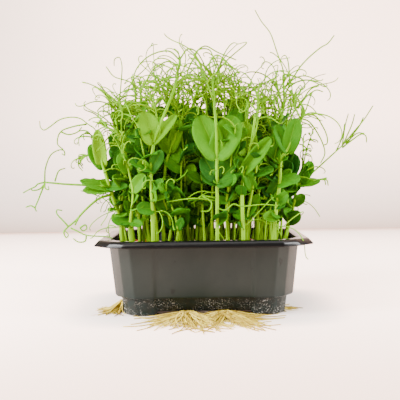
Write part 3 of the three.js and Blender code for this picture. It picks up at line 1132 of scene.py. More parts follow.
class PeaShoot:
    """One plant: stem, stalks and tendrils as one piece, and its stipules as another.

    CROWN is how many tendrils its tip carries.
    """

    CROWN = 3

    def __init__(self, plan: ShootPlan, number: int, blade: Blade) -> None:
        """Grows the plant's stem.

        Args:
            plan: What it carries and where.
            number: Its number, as in its CAD node.
            blade: How fine its leaves are.
        """
        self.plan = plan
        self.number = number
        self.blade = blade
        self.rng = Random(1000 + number)
        self.stem = self._stem_path()

    def _stem_path(self) -> list[Vector]:
        """Returns the stem's centreline, from just under the medium up to its tip."""
        x0, y0 = self.plan.foot
        points = [Vector((x0, y0, MEDIUM_TOP - 2.5))]
        top = self.plan.spine[-1][1]
        for x, z in self.plan.spine:
            share = (z - MEDIUM_TOP) / (top - MEDIUM_TOP)
            jog = Vector((self.rng.uniform(-0.5, 0.5), self.rng.uniform(-0.8, 0.8), 0))
            points.append(Vector((x, lerp(y0, self.plan.lean, share), z)) + jog)
        return smooth_path(points, 5)

    def at_height(self, z: float) -> Vector:
        """Returns the stem's middle at a height, or its tip above that."""
        for low, high in zip(self.stem, self.stem[1:]):
            if low.z <= z < high.z:
                return low.lerp(high, (z - low.z) / (high.z - low.z))
        return self.stem[-1].copy()

    def tendril(self, start: Vector, direction: Vector, length: float, curl: float,
                thick: float = 0.54) -> Strand:
        """Grows one tendril that bends gently and winds up at its end.

        Args:
            start: Where it leaves.
            direction: Which way it leaves.
            length: Its length.
            curl: How strongly its end winds up. 1 is about three quarters of a turn.
            thick: Its radius at the start.

        Returns:
            The tendril's strand.
        """
        rng = self.rng
        steps = 18
        run = direction.normalized()
        sag = run.cross(-UP)
        axis = (sag + across_of(run, rng) * rng.uniform(0.2, 0.9)).normalized()
        droop = rng.uniform(1.2, 3.0)
        wind = curl * math.tau * rng.choice((1, 1, -1))
        torsion = rng.uniform(-0.1, 0.1)
        place, path = start.copy(), [start.copy()]
        for k in range(steps):
            share = (k + 1) / steps
            turn = (droop + wind * 4.5 * share ** 5) / steps
            run = Matrix.Rotation(turn, 3, axis) @ run
            axis = Matrix.Rotation(torsion, 3, run) @ axis
            place = place + run * (length / steps * (1.3 - 0.6 * share))
            path.append(place.copy())
        return Strand(path, thick, 0.34, round(rng.uniform(0.3, 1.0), 1))

    def stalk(self, root: Vector, plan: Stalk) -> list[Strand]:
        """Grows a leaf stalk with its tendrils.

        Args:
            root: Its node on the stem.
            plan: Its sizes.

        Returns:
            The stalk and its tendrils.
        """
        rng = self.rng
        end = root + Vector(plan.reach)
        length = Vector(plan.reach).length
        middle = root.lerp(end, 0.5) + across_of(end - root, rng) * length * rng.uniform(0.03, 0.12)
        path = smooth_path([root, middle, end], 5)
        grown = [Strand(path, plan.thick, plan.thick * 0.7, 0.5)]
        main = (end - middle).normalized()
        for k in range(plan.tendrils):
            share = 1 if k == 0 else lerp(0.4, 1, k / plan.tendrils)
            start = path[round(share * (len(path) - 1))]
            spread_by = 0.2 if k == 0 else rng.uniform(0.5, 1.3)
            away = (main + across_of(main, rng) * spread_by).normalized()
            size = plan.size * rng.uniform(0.5, 1.3)
            grown.append(self.tendril(start, away, size, plan.curl * rng.uniform(0.1, 1.2),
                                      min(0.54, plan.thick * 0.8)))
        return grown

    def stem_strand(self) -> Strand:
        """Returns the stem as a strand."""
        thick = self.plan.thick * self.rng.uniform(0.92, 1.05)
        return Strand(self.stem, thick, thick * 0.5, 0.0)

    def fine_strands(self, crown: int) -> list[Strand]:
        """Grows the stalks and tendrils.

        Args:
            crown: How many tendrils the stem's tip carries.

        Returns:
            Their strands.
        """
        fine: list[Strand] = []
        for plan in self.plan.stalks:
            fine += self.stalk(self.at_height(plan.height), plan)
        for routes, thick, thin in ((self.plan.routes, 0.62, 0.42), (self.plan.petioles, 0.95, 0.62)):
            for route in routes:
                fine.append(Strand(smooth_path([Vector(p) for p in route], 5), thick, thin, 0.7))
        tip = self.stem[-1]
        run = (tip - self.stem[-3]).normalized()
        for _ in range(crown):
            fine.append(self.tendril(tip, run + across_of(run, self.rng) * 0.5,
                                     self.rng.uniform(14, 28), self.rng.uniform(0.2, 1.0)))
        return fine

    def blade_point(self, leaf: Leaf, u: float, v: float, wild: float) -> Point:
        """Works out a point of a leaf's blade.

        Args:
            leaf: Its sizes.
            u: From its node at 0 to its tip at 1.
            v: From its upper margin at -1, over the midrib, to its lower margin at 1.
            wild: What varies its ripples.

        Returns:
            How far the point lies across, off and along the blade.
        """
        length = Vector(leaf.reach).length
        u = 1 - (1 - u) ** 1.5
        if u < 0.42:
            swell = 1 - 0.22 * ((0.42 - u) / 0.42) ** 2
        else:
            swell = max(0.0, 1 - ((u - 0.42) / 0.58) ** 2.1) ** 0.5
        half = leaf.width / 2 * (0.03 + 0.97 * swell) * (1.1 if v > 0 else 0.88)
        scallop = 1 + leaf.teeth * math.sin(u * 26 + wild) * abs(v) ** 3
        lobe = (0.13 if v > 0 else 0.08) * length
        across = v * half * scallop
        along = length * u - lobe * math.sin(math.pi * min(abs(v), 0.97)) * (1 - u) ** 2
        ripple = 0.05 * leaf.width * math.sin(u * 7 + wild + (2 if v > 0 else 0)) * v * v
        bow = -0.1 * length * (u - 0.35) ** 2 * math.cos(wild)
        return across, leaf.cup * abs(across) ** 1.15 + ripple + bow, along

    def add_leaf(self, bm: bmesh.types.BMesh, leaf: Leaf) -> None:
        """Adds one stipule to a mesh that has a UV layer and a tint layer.

        Args:
            bm: Where it goes.
            leaf: Its sizes and place.
        """
        tint = bm.verts.layers.float["tint"]
        root = self.at_height(leaf.height)
        along = Vector(leaf.reach).normalized()
        facing = Vector(leaf.facing)
        normal = (facing - along * facing.dot(along)).normalized()
        across = normal.cross(along)
        lower = 1 if across.z < 0 else -1
        wild = self.rng.uniform(0, math.tau)
        wide, long = self.blade.value
        made = bmesh.ops.create_grid(bm, x_segments=wide, y_segments=long, size=0.5, calc_uvs=True)
        for vert in made["verts"]:
            v, u = vert.co.x * 2, vert.co.y + 0.5
            b, n, a = self.blade_point(leaf, u, v, wild)
            vert.co = root + across * (b * lower) + normal * n + along * a
            vert[tint] = leaf.tint
        if lower < 0:
            faces = list({f for vert in made["verts"] for f in vert.link_faces})
            bmesh.ops.reverse_faces(bm, faces=faces)

    def dress(self, skin: bpy.types.Material, blade: bpy.types.Material) -> None:
        """Makes the plant's pieces. skin is the stem's material and blade the leaves'."""
        node = f"pea_shoot_{self.number:02d}"
        dress_foliage(node, [self], [node], self.CROWN, skin, blade)


def dress_foliage(name: str, shoots: list[PeaShoot], nodes: list[str], crown: int,
                  skin: bpy.types.Material, blade: bpy.types.Material) -> None:
    """Makes one piece of some plants' stems and tendrils, and another of their stipules.

    Args:
        name: What the pieces' names begin with.
        shoots: The plants.
        nodes: The CAD nodes that the pieces stand for.
        crown: How many tendrils each stem's tip carries.
        skin: The stems' material.
        blade: The leaves' material.
    """
    stems = strands_to_mesh([shoot.stem_strand() for shoot in shoots], 2)
    fine = strands_to_mesh([strand for shoot in shoots for strand in shoot.fine_strands(crown)], 0)
    tubes = bmesh.new()
    for mesh in (stems, fine):
        tubes.from_mesh(mesh)
        bpy.data.meshes.remove(mesh)
    add_piece(f"{name}_stem", mesh_of(tubes), skin, nodes)
    blades = bmesh.new()
    blades.loops.layers.uv.new("blade")
    blades.verts.layers.float.new("tint")
    for shoot in shoots:
        for leaf in shoot.plan.leaves:
            shoot.add_leaf(blades, leaf)
    leaves = add_piece(f"{name}_leaves", mesh_of(blades), blade, nodes)
    thin = leaves.modifiers.new("blade thickness", "SOLIDIFY")
    thin.thickness = 0.3 * MM
    thin.offset = 0


LEVEL = (0.0, -0.75, 0.65)

# The leaf tints listed here are partly painted light: leaves lit through from the back left get the
# yellowest.
FRONT_SHOOTS = [
    ShootPlan((9, -32), [(9, 50), (9.5, 114), (10, 127), (8, 144), (7.5, 161)], -31,
              [Leaf(109.5, (-11.5, 4, 26), 19.5, 0.52), Leaf(109.5, (12.5, 4, 25.5), 19.5, 0.5),
               Leaf(91.5, (17.5, 3, 15.5), 17, 0.28, teeth=0.03), Leaf(91, (-10, 2, 7), 10, 0.25),
               Leaf(93, (-9, 2, 15), 13, 0.12)],
              [Stalk(127, (3, 5, 34), 7, size=26), Stalk(144, (-8, 0, 24), 6),
               Stalk(154, (5, 2, 16), 6)],
              [[(9.5, -31, 78), (-4, -35, 80), (-14, -36, 79.5), (-24, -36, 78)],
               [(9.5, -31, 80), (0, -36, 81.5), (5.5, -36, 77.5), (4, -37, 72), (-1, -37, 71.5)],
               [(9.5, -31, 73), (15, -36, 72), (20, -37, 76), (26, -37, 74.5), (39.5, -36, 75.5),
                (50, -36, 74.5)],
               [(7.5, -31, 160), (2, -31, 168), (-4.5, -31, 175), (2.5, -31, 181.5),
                (11.5, -31, 177), (23.5, -31, 172)],
               [(7.5, -31, 158), (-9, -31, 162), (-3.5, -31, 176), (-0.5, -31, 179.5),
                (6, -31, 178.5), (9, -31, 170)],
               [(7.5, -31, 161), (5.5, -31, 170), (11, -31, 175.5), (20, -31, 168),
                (26, -31, 163)]], thick=1.65),
    ShootPlan((-34, -32), [(-34, 50), (-34, 74.5), (-35, 99.5), (-33.5, 113), (-30.5, 124),
                           (-24.5, 138), (-16.5, 157)], -30,
              [Leaf(119, (-7, 3, 20), 15, 0.85), Leaf(119, (15, 2, 18), 7.5, 0.78, cup=0.5),
               Leaf(80, (12, -3, 2), 6, 0.6, LEVEL), Leaf(100, (-8, 3, 12), 12, 0.1),
               Leaf(99.5, (-14, -3, 6), 13, 0.3, (0, -0.7, 1)), Leaf(99.5, (8, -2, 13), 9, 0.25)],
              [Stalk(124, (-4, 0, 26), 7), Stalk(142, (-8, 2, 18), 6),
               Stalk(152, (4, -2, 16), 6)],
              [[(-14.5, -29, 173), (-22, -29, 179), (-34, -28, 176.5), (-43, -28, 168.5),
                (-47, -28, 158)],
               [(-15, -29, 169), (-23, -29, 172), (-33, -28, 166), (-39, -28, 156)],
               [(-14.5, -29, 173), (-9, -29, 180), (-3, -29, 178), (2, -29, 170)]], 1.6,
              [[(-24.5, -30, 138), (-20, -30, 149), (-16.5, -30, 162), (-14.5, -29, 173)]]),
    ShootPlan((-26, -23), [(-27.5, 49), (-27.5, 65.5), (-26, 96.5), (-23.5, 108.5), (-18.5, 121),
                           (-13, 136)], -21,
              [Leaf(114, (6.5, -1, 19.5), 9, 0.7), Leaf(113, (-8, -1, 10), 9, 0.6),
               Leaf(106.5, (10, -2, -9), 8, 0.45)],
              [Stalk(121, (3, 0, 30), 6), Stalk(132, (-5, 0, 20), 6)], thick=1.45),
    ShootPlan((-16, -15), [(-17, 49), (-17.5, 73.5), (-16.5, 96.5), (-8.5, 131), (-5, 148)], -14,
              [Leaf(118, (6, -1, 24), 10, 0.25), Leaf(116, (-7, 0, 18), 11, 0.3),
               Leaf(80.5, (5, -4, 10), 9, 0.6), Leaf(62, (6, -6, 10), 12, 0.4)],
              [Stalk(128, (-4, 0, 26), 6), Stalk(142, (5, 0, 16), 6)]),
    ShootPlan((-3, -14), [(-2, 49), (-1, 73.5), (-0.5, 92.5), (0.5, 105.5), (3, 134), (3.5, 155)], -12,
              [Leaf(105.5, (-8, -1, 12), 11, 0.3), Leaf(105.5, (9, -1, 10), 10, 0.25),
               Leaf(124, (-9, 0, 18), 12, 0.5), Leaf(82.5, (-7, -4, 8), 8, 0.5)],
              [Stalk(132, (6, 0, 28), 7), Stalk(147, (-6, 0, 18), 6)]),
    ShootPlan((26.5, -32), [(27, 50), (27, 82.5), (27.5, 96.5), (29, 99.5), (33, 119), (36, 134)], -30,
              [Leaf(99, (17, -3, 21), 10, 0.5, cup=0.6), Leaf(99.5, (-7, -1, 8), 8, 0.45)],
              [Stalk(112, (6, 0, 34), 6), Stalk(127, (3, 0, 20), 6)]),
    ShootPlan((33.5, -25), [(30, 50), (32, 73.5), (33, 92.5), (31.5, 112), (30, 130), (31, 147)], -22,
              [Leaf(109.5, (-2.5, -2, 22), 16, 0.8), Leaf(94.5, (8, -2, 9), 10, 0.3),
               Leaf(74.5, (6, -3, 7), 7, 0.5)],
              [Stalk(126, (2, 0, 28), 6), Stalk(140, (-5, 0, 16), 5)]),
    ShootPlan((41, -22), [(37.5, 49), (38.5, 81.5), (39.5, 102.5), (49.5, 121), (56, 140),
                          (57, 158)], -17,
              [Leaf(97.5, (-7, 2, 9), 12, 0.15), Leaf(97.5, (8, 2, 10), 13, 0.15),
               Leaf(112, (9, -2, 12), 9, 0.45)],
              [Stalk(121, (-10, 0, 26), 7), Stalk(140, (-8, 0, 20), 6),
               Stalk(150, (4, 0, 10), 5)],
              [[(57, -17, 158), (56.5, -17, 167), (52.5, -16, 179.5), (48, -16, 192.5),
                (42, -16, 200.5), (37.5, -16, 208.5)],
               [(57, -17, 154), (64.5, -16, 163.5), (69, -16, 170), (76, -16, 177), (83, -16, 182.5),
                (87.5, -16, 185), (92, -16, 190.5)]]),
    ShootPlan((49.5, -29), [(48, 49.5), (50.5, 74.5), (52, 89.5), (53.5, 105.5), (58, 113),
                            (63, 123), (68, 134), (68.5, 141), (66, 144)], -26,
              [Leaf(112, (6, -2, 21), 12, 0.42), Leaf(89.5, (13, -5, 3), 12, 0.4, LEVEL),
               Leaf(112, (-8, 0, 17), 9, 0.35), Leaf(76.5, (7, -4, 6), 8, 0.4)],
              [Stalk(123, (8, 0, 16), 6), Stalk(132, (-6, 0, 20), 6)],
              [[(67.5, -26, 133), (73.5, -26, 130), (80.5, -26, 119), (83.5, -25, 109.5),
                (80.5, -25, 102.5)],
               [(66.5, -26, 142), (71.5, -25, 148), (77.5, -25, 152), (82.5, -24, 151)]]),
    ShootPlan((56, -10), [(59.5, 54.5), (64.5, 72.5), (66.5, 84.5), (70, 89.5), (71.5, 94.5)], -8,
              [Leaf(88, (4, -4, 10), 9, 0.4), Leaf(86, (-13, -4, -2), 8, 0.5, LEVEL),
               Leaf(88, (14, -4, 2), 8, 0.5, LEVEL), Leaf(74.5, (7, -3, 6), 8, 0.45),
               Leaf(66, (-6, -4, 5), 7, 0.4), Leaf(92, (7, 2, 12), 9, 0.4)],
              [Stalk(93, (8, 4, 32), 8, size=12), Stalk(90, (2, 2, 30), 7, size=12)],
              [[(100.5, -2, 115), (103, -1, 129.5), (105.5, 0, 138)],
               [(101.5, -2, 116.5), (107.5, -1, 129.5), (110, 0, 137.5)],
               [(100.5, -2, 115), (109, -2, 125), (116, -3, 133.5), (122, -4, 143)],
               [(106, -2, 120.5), (112, -3, 128), (115.5, -3, 135)],
               [(100.5, -2, 113.5), (107.5, -3, 119), (113.5, -4, 123), (117, -4, 121.5),
                (117.5, -4, 117)],
               [(103, -2, 116.5), (110.5, -3, 123.5), (116, -4, 123.5)],
               [(96, -2, 111), (101, 0, 121), (103, 1, 131)],
               [(84, -5, 91), (87, -5, 91), (88, -5, 87)], [(85, -5, 91), (89, -4, 90.5), (90, -4, 86.5)],
               [(70, -20, 136.5), (78, -20, 135), (83, -20, 128), (86, -20, 121), (86, -20, 116),
                (83, -20, 115)],
               [(66, -20, 140), (74, -20, 152.5), (80.5, -20, 155.5)],
               [(56.5, -17, 164.5), (63.5, -17, 163), (69.5, -17, 160.5), (71.5, -17, 156),
                (69.5, -17, 153.5), (67, -17, 155)]], 1.5,
              [[(70, -8, 88), (74.5, -4, 92), (88, -3, 104), (100.5, -2, 115)],
               [(70, -8, 88), (77, -5, 90), (84, -5, 91), (89, -4, 92)]]),
    ShootPlan((-53, -24), [(-56, 54.5), (-56.5, 65.5), (-62.5, 81.5), (-66.5, 96.5), (-69, 105.5),
                           (-69.5, 115)], -22,
              [Leaf(103.5, (-2.5, -3, 24), 9.5, 1), Leaf(102.5, (-9, 2, 15), 10, 0.45),
               Leaf(87, (-20, -4, 6), 9, 0.5, LEVEL, teeth=0.1),
               Leaf(87, (-18, -5, -1), 10, 0.55, LEVEL, teeth=0.12),
               Leaf(88.5, (13, -5, 0), 9, 0.3, LEVEL)],
              [Stalk(110, (-18, 8, -2), 9, size=12), Stalk(112, (-9, 2, 14), 7, size=18)],
              [[(-108.5, -24, 92), (-113, -24, 91), (-115, -25, 89), (-118.5, -25, 87.5),
                (-123, -26, 85)],
               [(-108.5, -24, 91), (-112, -24, 87.5), (-116.5, -24, 86.5), (-118.5, -24, 88)],
               [(-109, -24, 90), (-113, -24, 80.5), (-115.5, -24, 74.5), (-114.5, -24, 72)],
               [(-115.5, -24, 74.5), (-118.5, -24, 76), (-122, -24, 75)],
               [(-108.5, -24, 91.5), (-108, -25, 88), (-105.5, -25, 87), (-106, -25, 89.5)],
               [(-108.5, -24, 92), (-108, -23, 101.5), (-104.5, -22, 110.5), (-99, -21, 114),
                (-95.5, -21, 113.5), (-95, -21, 110.5), (-97, -21, 111.5)],
               [(-101.5, -24, 92.5), (-99, -23, 99.5), (-94.5, -22, 101.5)],
               [(-69.5, -22, 115), (-73.5, -18, 127), (-79.5, -16, 132), (-85, -15, 136),
                (-92, -14, 137), (-100, -12, 135.5), (-106.5, -12, 131), (-111, -12, 128.5),
                (-113.5, -12, 130.5), (-114, -12, 135)],
               [(-80.5, -15, 132), (-90, -14, 130.5), (-99, -14, 127), (-101.5, -14, 119),
                (-97.5, -14, 114.5)],
               [(-99, -14, 127), (-93.5, -14, 125), (-87.5, -14, 126.5), (-84, -14, 130)],
               [(-92.5, -26, 61.5), (-96, -26, 65.5), (-100, -26, 70), (-100, -26, 73),
                (-96.5, -26, 72.5)],
               [(-92.5, -26, 61.5), (-95.5, -27, 58), (-94, -27, 54), (-92.5, -27, 56), (-95, -27, 59)],
               [(-91, -26, 60.5), (-86.5, -27, 58.5), (-79.5, -28, 55.5), (-66, -29, 54.5),
                (-62, -30, 53.5)],
               [(-80, -28, 55), (-81, -28, 51.5), (-85.5, -28, 51), (-89, -28, 53.5)],
               [(-88, -26, 62.5), (-85.5, -26, 67), (-84.5, -26, 69.5)],
               [(-84.5, -26, 60.5), (-81, -26, 62.5), (-80, -26, 60), (-82.5, -26, 58.5),
                (-84.5, -27, 60.5)]], 1.9,
              [[(-64, -24, 88.5), (-78, -24, 89.5), (-94, -24, 90.5), (-108.5, -24, 92)],
               [(-63, -24, 83), (-72, -24, 80), (-81, -25, 72.5), (-87, -25, 66),
                (-92.5, -26, 61.5)]]),
    ShootPlan((-57, -15), [(-56.5, 54.5), (-57.5, 84.5), (-56, 105.5), (-57.5, 120), (-59, 134)], -19,
              [Leaf(93.5, (-5.5, -2, 15), 14, 0.15), Leaf(110.5, (-6, -1, 15), 10, 0.3),
               Leaf(110.5, (7, -1, 13), 11, 0.35)],
              [Stalk(120, (-12, 2, 14), 7, size=20), Stalk(128, (-4, 0, 18), 6)],
              [[(-58, -17, 136), (-57, -16, 148), (-55.5, -15, 163.5), (-55, -15, 171.5),
                (-56.5, -15, 177.5), (-60, -15, 176.5), (-60.5, -15, 172)],
               [(-50, -17, 136), (-45.5, -15, 152), (-49.5, -15, 160.5), (-60.5, -15, 164.5),
                (-66, -15, 171.5)]]),
    ShootPlan((-44.5, -31), [(-50.5, 56.5), (-47.5, 82.5), (-50.5, 99.5), (-53, 118)], -28,
              [Leaf(64.5, (-12, -4, 1), 8, 0.35, LEVEL), Leaf(64.5, (9, -4, -2), 7, 0.4, LEVEL),
               Leaf(86.5, (9, -3, 10), 10, 0.55), Leaf(99.5, (-6, -2, 11), 9, 0.5)],
              [Stalk(99.5, (-8, 0, 20), 5, size=18), Stalk(110, (-5, 0, 14), 6, size=20)], thick=1.4),
    ShootPlan((-43.5, -21), [(-44, 50), (-44.5, 73.5), (-50, 89.5), (-51.5, 99.5), (-55, 121),
                             (-55.5, 136)], -18,
              [Leaf(99.5, (-8, -1, 12), 11, 0.4), Leaf(99.5, (9, -1, 12), 11, 0.45),
               Leaf(80.5, (7, -3, 8), 8, 0.4), Leaf(114, (8, -1, 14), 11, 0.5)],
              [Stalk(114, (-8, 0, 26), 7), Stalk(126, (3, 0, 22), 7)]),
    ShootPlan((17.5, -22), [(17, 50), (16.5, 82.5), (17.5, 107.5), (16, 132), (15.5, 158)], -18,
              [Leaf(100.5, (12, -1, 15), 14, 0.2), Leaf(100.5, (-9, -1, 9), 10, 0.25),
               Leaf(80.5, (11, -4, 9), 10, 0.6), Leaf(122, (9, -1, 18), 13, 0.45)],
              [Stalk(130, (6, 0, 26), 7), Stalk(146, (-5, 0, 14), 6)]),
]

REAR_ROWS = (-6, 5, 16, 27)
REAR_COLUMNS = 5
REAR_PITCH = 23


def rear_plan(row: int, column: int, index: int) -> ShootPlan:
    """Plans a shoot behind the front ones, at its CAD place.

    Args:
        row: Its row, from the front.
        column: Its place in the row.
        index: Its number in the CAD model's list, from 0.

    Returns:
        Its plan.
    """
    stagger = 0.0 if row % 2 == 0 else REAR_PITCH / 2 - 3
    x = (column - (REAR_COLUMNS - 1) / 2) * REAR_PITCH + stagger - 4 + between(-2.5, 2.5, index, 1)
    y = REAR_ROWS[row] + between(-2, 2, index, 2)
    top = between(138, 166, index, 3)
    tip = (x * 1.16 + between(-4, 4, index, 4), y * 1.1 + between(-3, 3, index, 5))
    bow = between(-3, 3, index, 6)
    spine = [(lerp(x, tip[0], s) + bow * 4 * s * (1 - s), lerp(MEDIUM_TOP, top, s))
             for s in (0.12, 0.35, 0.55, 0.75, 1.0)]
    leaves = []
    for joint, (share, size) in enumerate(((0.5, 0), (0.72, 0), (0.24, 8), (0.36, 11), (0.61, 16),
                                           (0.84, 12))):
        z = lerp(MEDIUM_TOP, top, share + between(-0.04, 0.04, index, 10 + joint))
        turn = between(-40, 40, index, 20 + joint) + joint * 80
        long = between(15, 22, index, 30 + joint) if size == 0 else size
        rise = between(38, 68, index, 40 + joint)
        dark = 0.12 + 0.35 * vary(index, 80 + joint) + (0.2 if share > 0.7 else 0)
        for azimuth, twist in ((turn + 180, -70), (turn, 70)):
            reach = heading(azimuth, rise) * long
            side = (UP - reach.normalized() * reach.normalized().z).normalized()
            facing = Matrix.Rotation(math.radians(twist), 3, reach.normalized()) @ side
            leaves.append(Leaf(z, tuple(reach), long * 0.74, dark, tuple(facing)))
    stalks = []
    for joint, share in enumerate((0.68, 0.86, 0.76, 0.93)):
        reach = heading(between(0, 360, index, 50 + joint), between(55, 80, index, 60 + joint))
        long = between(16, 28, index, 65 + joint) * (1 if joint < 2 else 0.6)
        stalks.append(Stalk(lerp(MEDIUM_TOP, top, share), tuple(reach * long), 4))
    return ShootPlan((x, y), spine, tip[1], leaves, stalks, [], between(1.25, 1.55, index, 90))


def low_growth(plan: ShootPlan, number: int, count: int) -> None:
    """Adds small leaves and curly stalks to the lower part of a shoot's plan.

    Args:
        plan: The plan that gets them.
        number: The shoot's number, which fixes them.
        count: How many leaves it gets; the stalks are half as many.
    """
    rng = Random(4000 + number)
    for _ in range(count):
        reach = heading(rng.uniform(-175, -5), rng.uniform(-10, 55)) * rng.uniform(6, 12)
        facing = (rng.uniform(-0.5, 0.5), rng.uniform(-1.0, -0.3), rng.uniform(0.2, 1.0))
        plan.leaves.append(Leaf(rng.uniform(58, 96), tuple(reach), reach.length * rng.uniform(0.6, 0.9),
                                rng.uniform(0.2, 0.7), facing, rng.uniform(0.1, 0.4)))
    for _ in range(count // 2):
        side = rng.choice((-175, -5)) + rng.uniform(-25, 25)
        reach = heading(side, rng.uniform(-20, 50)) * rng.uniform(6, 14)
        plan.stalks.append(Stalk(rng.uniform(58, 88), tuple(reach), 2, rng.uniform(16, 28), 0.4, 0.45))


@dataclass
class Seedlings:
    """The crowd of thinner seedlings between the shoots.

    Attributes:
        count: How many there are.
        batch: How many stand in one row and make one piece.
    """

    count: int = 84
    batch: int = 21

    def plan(self, number: int) -> ShootPlan:
        """Plans one seedling.

        Args:
            number: Its number, which fixes it.

        Returns:
            Its plan.
        """
        rng = Random(7000 + number)
        row, column = divmod(number, self.batch)
        x = lerp(-57, 57, (column + rng.uniform(0.1, 0.9)) / self.batch)
        y = lerp(-27, 34, (row + rng.uniform(0.05, 0.95)) * self.batch / self.count)
        x *= 1 - 0.12 * (abs(y) / 34) ** 2
        top = rng.uniform(84, 132)
        lean = rng.uniform(-0.1, 0.1) + x * 0.0015
        bow = rng.uniform(-3.5, 3.5)
        high = top - MEDIUM_TOP
        spine = [(x + lean * (z - MEDIUM_TOP) + bow * math.sin((z - MEDIUM_TOP) / high * 4), z)
                 for z in (lerp(MEDIUM_TOP, top, share) for share in (0.15, 0.4, 0.65, 0.85, 1.0))]
        plan = ShootPlan((x, y), spine, y + rng.uniform(-6, 4), [], [], [], rng.uniform(0.95, 1.4))
        for share in (0.4, 0.6, 0.8, 0.98):
            z = lerp(44, top, share + rng.uniform(-0.06, 0.06))
            turn, long = rng.uniform(0, 360), rng.uniform(8, 15)
            for azimuth in (turn, turn + 180):
                reach = heading(azimuth, rng.uniform(5, 65)) * long
                facing = (rng.uniform(-0.6, 0.6), rng.uniform(-1.0, -0.2), rng.uniform(0.1, 1.0))
                plan.leaves.append(Leaf(z, tuple(reach), long * rng.uniform(0.6, 0.85),
                                        rng.uniform(0.1, 0.62), facing, rng.uniform(0.1, 0.4)))
        reach = heading(rng.uniform(0, 360), 40) * 10
        plan.stalks.append(Stalk(top * 0.8, tuple(reach), 3, 16, 0.9, 0.4))
        return plan

    def dress(self, skin: bpy.types.Material, blade: bpy.types.Material) -> None:
        """Makes the seedlings' pieces. skin is the stems' material and blade the leaves'."""
        for first in range(0, self.count, self.batch):
            shoots = [PeaShoot(self.plan(number), 500 + number, Blade.SMALL)
                      for number in range(first, first + self.batch)]
            dress_foliage(f"seedlings_{first // self.batch + 1}", shoots, [], 1, skin, blade)


# ---------------------------------------------------------------- studio


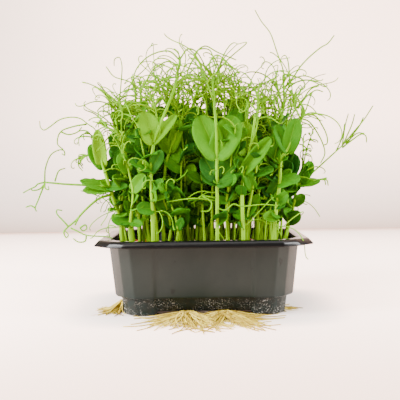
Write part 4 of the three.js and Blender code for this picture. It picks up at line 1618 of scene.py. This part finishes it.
@dataclass
class Studio:
    """The table sheet, lights and camera.

    Attributes:
        eye: The camera's place in mm.
        pitch: How far it looks down, in degrees.
        yaw: How far it looks to the left.
        roll: How far it is turned clockwise.
        lens: Its focal length on a 36 mm sensor.
    """

    eye: Point = (0.0, -444.8, 99.74)
    pitch: float = 2.9
    yaw: float = 0.282
    roll: float = 0.779
    lens: float = 55.23

    def add_sheet(self) -> None:
        """Lays the sheet: level under the tray, then rolled back and upright behind it.

        Its faces look down and back, so the tray stands on its inner side.
        """
        half, bend, far = 2500.0, 70.0, 535.0
        curve = [(far - bend * math.cos(a), bend - bend * math.sin(a))
                 for a in (math.radians(90 - 7.5 * k) for k in range(13))]
        bm = bmesh.new()
        verts = [bm.verts.new((-half, y, z)) for y, z in [(-half, 0.0), *curve, (far, half)]]
        edges = [bm.edges.new(pair) for pair in zip(verts, verts[1:])]
        drawn = bmesh.ops.extrude_edge_only(bm, edges=edges)["geom"]
        bmesh.ops.translate(bm, verts=[g for g in drawn if isinstance(g, bmesh.types.BMVert)],
                            vec=(2 * half, 0, 0))
        bm.normal_update()
        if max(bm.faces, key=lambda face: face.calc_area()).normal.z > 0:
            bmesh.ops.reverse_faces(bm, faces=bm.faces)
        mesh = mesh_of(bm)
        mesh.transform(Matrix.Scale(MM, 4))
        mesh.shade_smooth()
        mesh.materials.append(StudioSheet("translucent table sheet", 0.9, 0.1).material())
        sheet = bpy.data.objects.new("table_sheet", mesh)
        bpy.context.scene.collection.objects.link(sheet)

    def add_light(self, name: str, place: Point, size: tuple[float, float], power: float,
                  colour: str) -> None:
        """Hangs one soft light that faces the plants.

        Args:
            name: Its name.
            place: Its place in mm.
            size: Its width and height in mm.
            power: Its power in watts.
            colour: Its sRGB colour.
        """
        data = bpy.data.lights.new(name, "AREA")
        data.shape = "RECTANGLE"
        data.size, data.size_y = size[0] * MM, size[1] * MM
        data.energy = power
        data.color = linear(colour)[:3]
        lamp = bpy.data.objects.new(name, data)
        lamp.location = Vector(place) * MM
        aim = Vector((0, 0, 80)) * MM - lamp.location
        lamp.rotation_mode = "QUATERNION"
        lamp.rotation_quaternion = aim.to_track_quat("-Z", "Y")
        bpy.context.scene.collection.objects.link(lamp)

    def set_camera(self) -> None:
        """Sets the camera."""
        data = bpy.data.cameras.new("camera")
        data.lens = self.lens
        data.sensor_width = 36
        data.clip_start, data.clip_end = 0.01, 20
        camera = bpy.data.objects.new("camera", data)
        yaw, pitch = math.radians(self.yaw), math.radians(self.pitch)
        look = Vector((-math.sin(yaw) * math.cos(pitch), math.cos(yaw) * math.cos(pitch),
                       -math.sin(pitch)))
        turn = look.to_track_quat("-Z", "Y").to_matrix()
        roll = Matrix.Rotation(math.radians(self.roll), 3, look)
        camera.matrix_world = Matrix.Translation(Vector(self.eye) * MM) @ (roll @ turn).to_4x4()
        bpy.context.scene.collection.objects.link(camera)
        bpy.context.scene.camera = camera

    def dress(self) -> None:
        """Lays the sheet, hangs the lights and lights the room."""
        self.add_sheet()
        self.add_light("key softbox", (-450, -650, 800), (700, 700), 20, "#fff6ee")
        self.add_light("top softbox", (100, 60, 1000), (1100, 900), 18, "#ffffff")
        self.add_light("left strip", (-420, -170, 215), (120, 420), 13, "#ffffff")
        self.add_light("right strip", (430, -150, 215), (90, 420), 10, "#ffffff")
        world = bpy.data.worlds.new("studio")
        world.use_nodes = True
        glow = world.node_tree.nodes["Background"]
        glow.inputs["Color"].default_value = linear("#fbf1ec")
        glow.inputs["Strength"].default_value = 0.9
        bpy.context.scene.world = world


# ---------------------------------------------------------------- assembly

TUFTS = [
    RootTuft("front_left", (-13.5, -22), (-11, -33), -100, 150, 52, 80),
    RootTuft("front_right", (13.5, -22), (13.5, -33), -80, 150, 52, 80),
    RootTuft("left", (-42, 0), (-54, -10), -165, 120, 26, 60, 8.0),
    RootTuft("right", (42, 0), (46, -10), -30, 120, 24, 30),
    RootTuft("back_left", (-13.5, 22), (-12, 33), 100, 110, 55, 34),
    RootTuft("back_right", (13.5, 22), (14, 33), 80, 110, 55, 34),
]


def main() -> None:
    """Builds the studio and the object, sub-assembly by sub-assembly."""
    logging.basicConfig(level=logging.INFO, format="%(message)s")
    studio = Studio()
    studio.set_camera()
    studio.dress()
    Tray().dress(MouldedPolypropylene("moulded polypropylene sheet", 0.24, 0.12).material())
    medium = GrowingMedium()
    medium.dress(MoistPeat("moist milled peat", 0.9, 0.1).material(),
                 ExpandedPerlite("expanded perlite", 0.85, 0.1).material())
    PeaSeeds(medium).dress(SoakedSeedCoat("soaked seed coat", 0.5, 0.12).material())
    root_skin = LivingRoot("living root skin", 0.6, 0.12, subsurface=0.15).material()
    for tuft in TUFTS:
        tuft.dress(root_skin)
    stem_skin = LivingStem("living pea stem", 0.45, 0.04).material()
    leaf_skin = LivingLeaf("living pea leaf", 0.5, 0.05).material()
    plans = list(FRONT_SHOOTS)
    for row in range(len(REAR_ROWS)):
        for column in range(REAR_COLUMNS):
            plans.append(rear_plan(row, column, len(plans)))
    for number, plan in enumerate(plans, 1):
        front = number <= len(FRONT_SHOOTS)
        low_growth(plan, number, 3 if front else 4)
        blade = Blade.FRONT if front else Blade.BEHIND
        PeaShoot(plan, number, blade).dress(stem_skin, leaf_skin)
    Seedlings().dress(stem_skin, leaf_skin)
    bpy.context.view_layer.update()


if __name__ == "__main__":
    main()
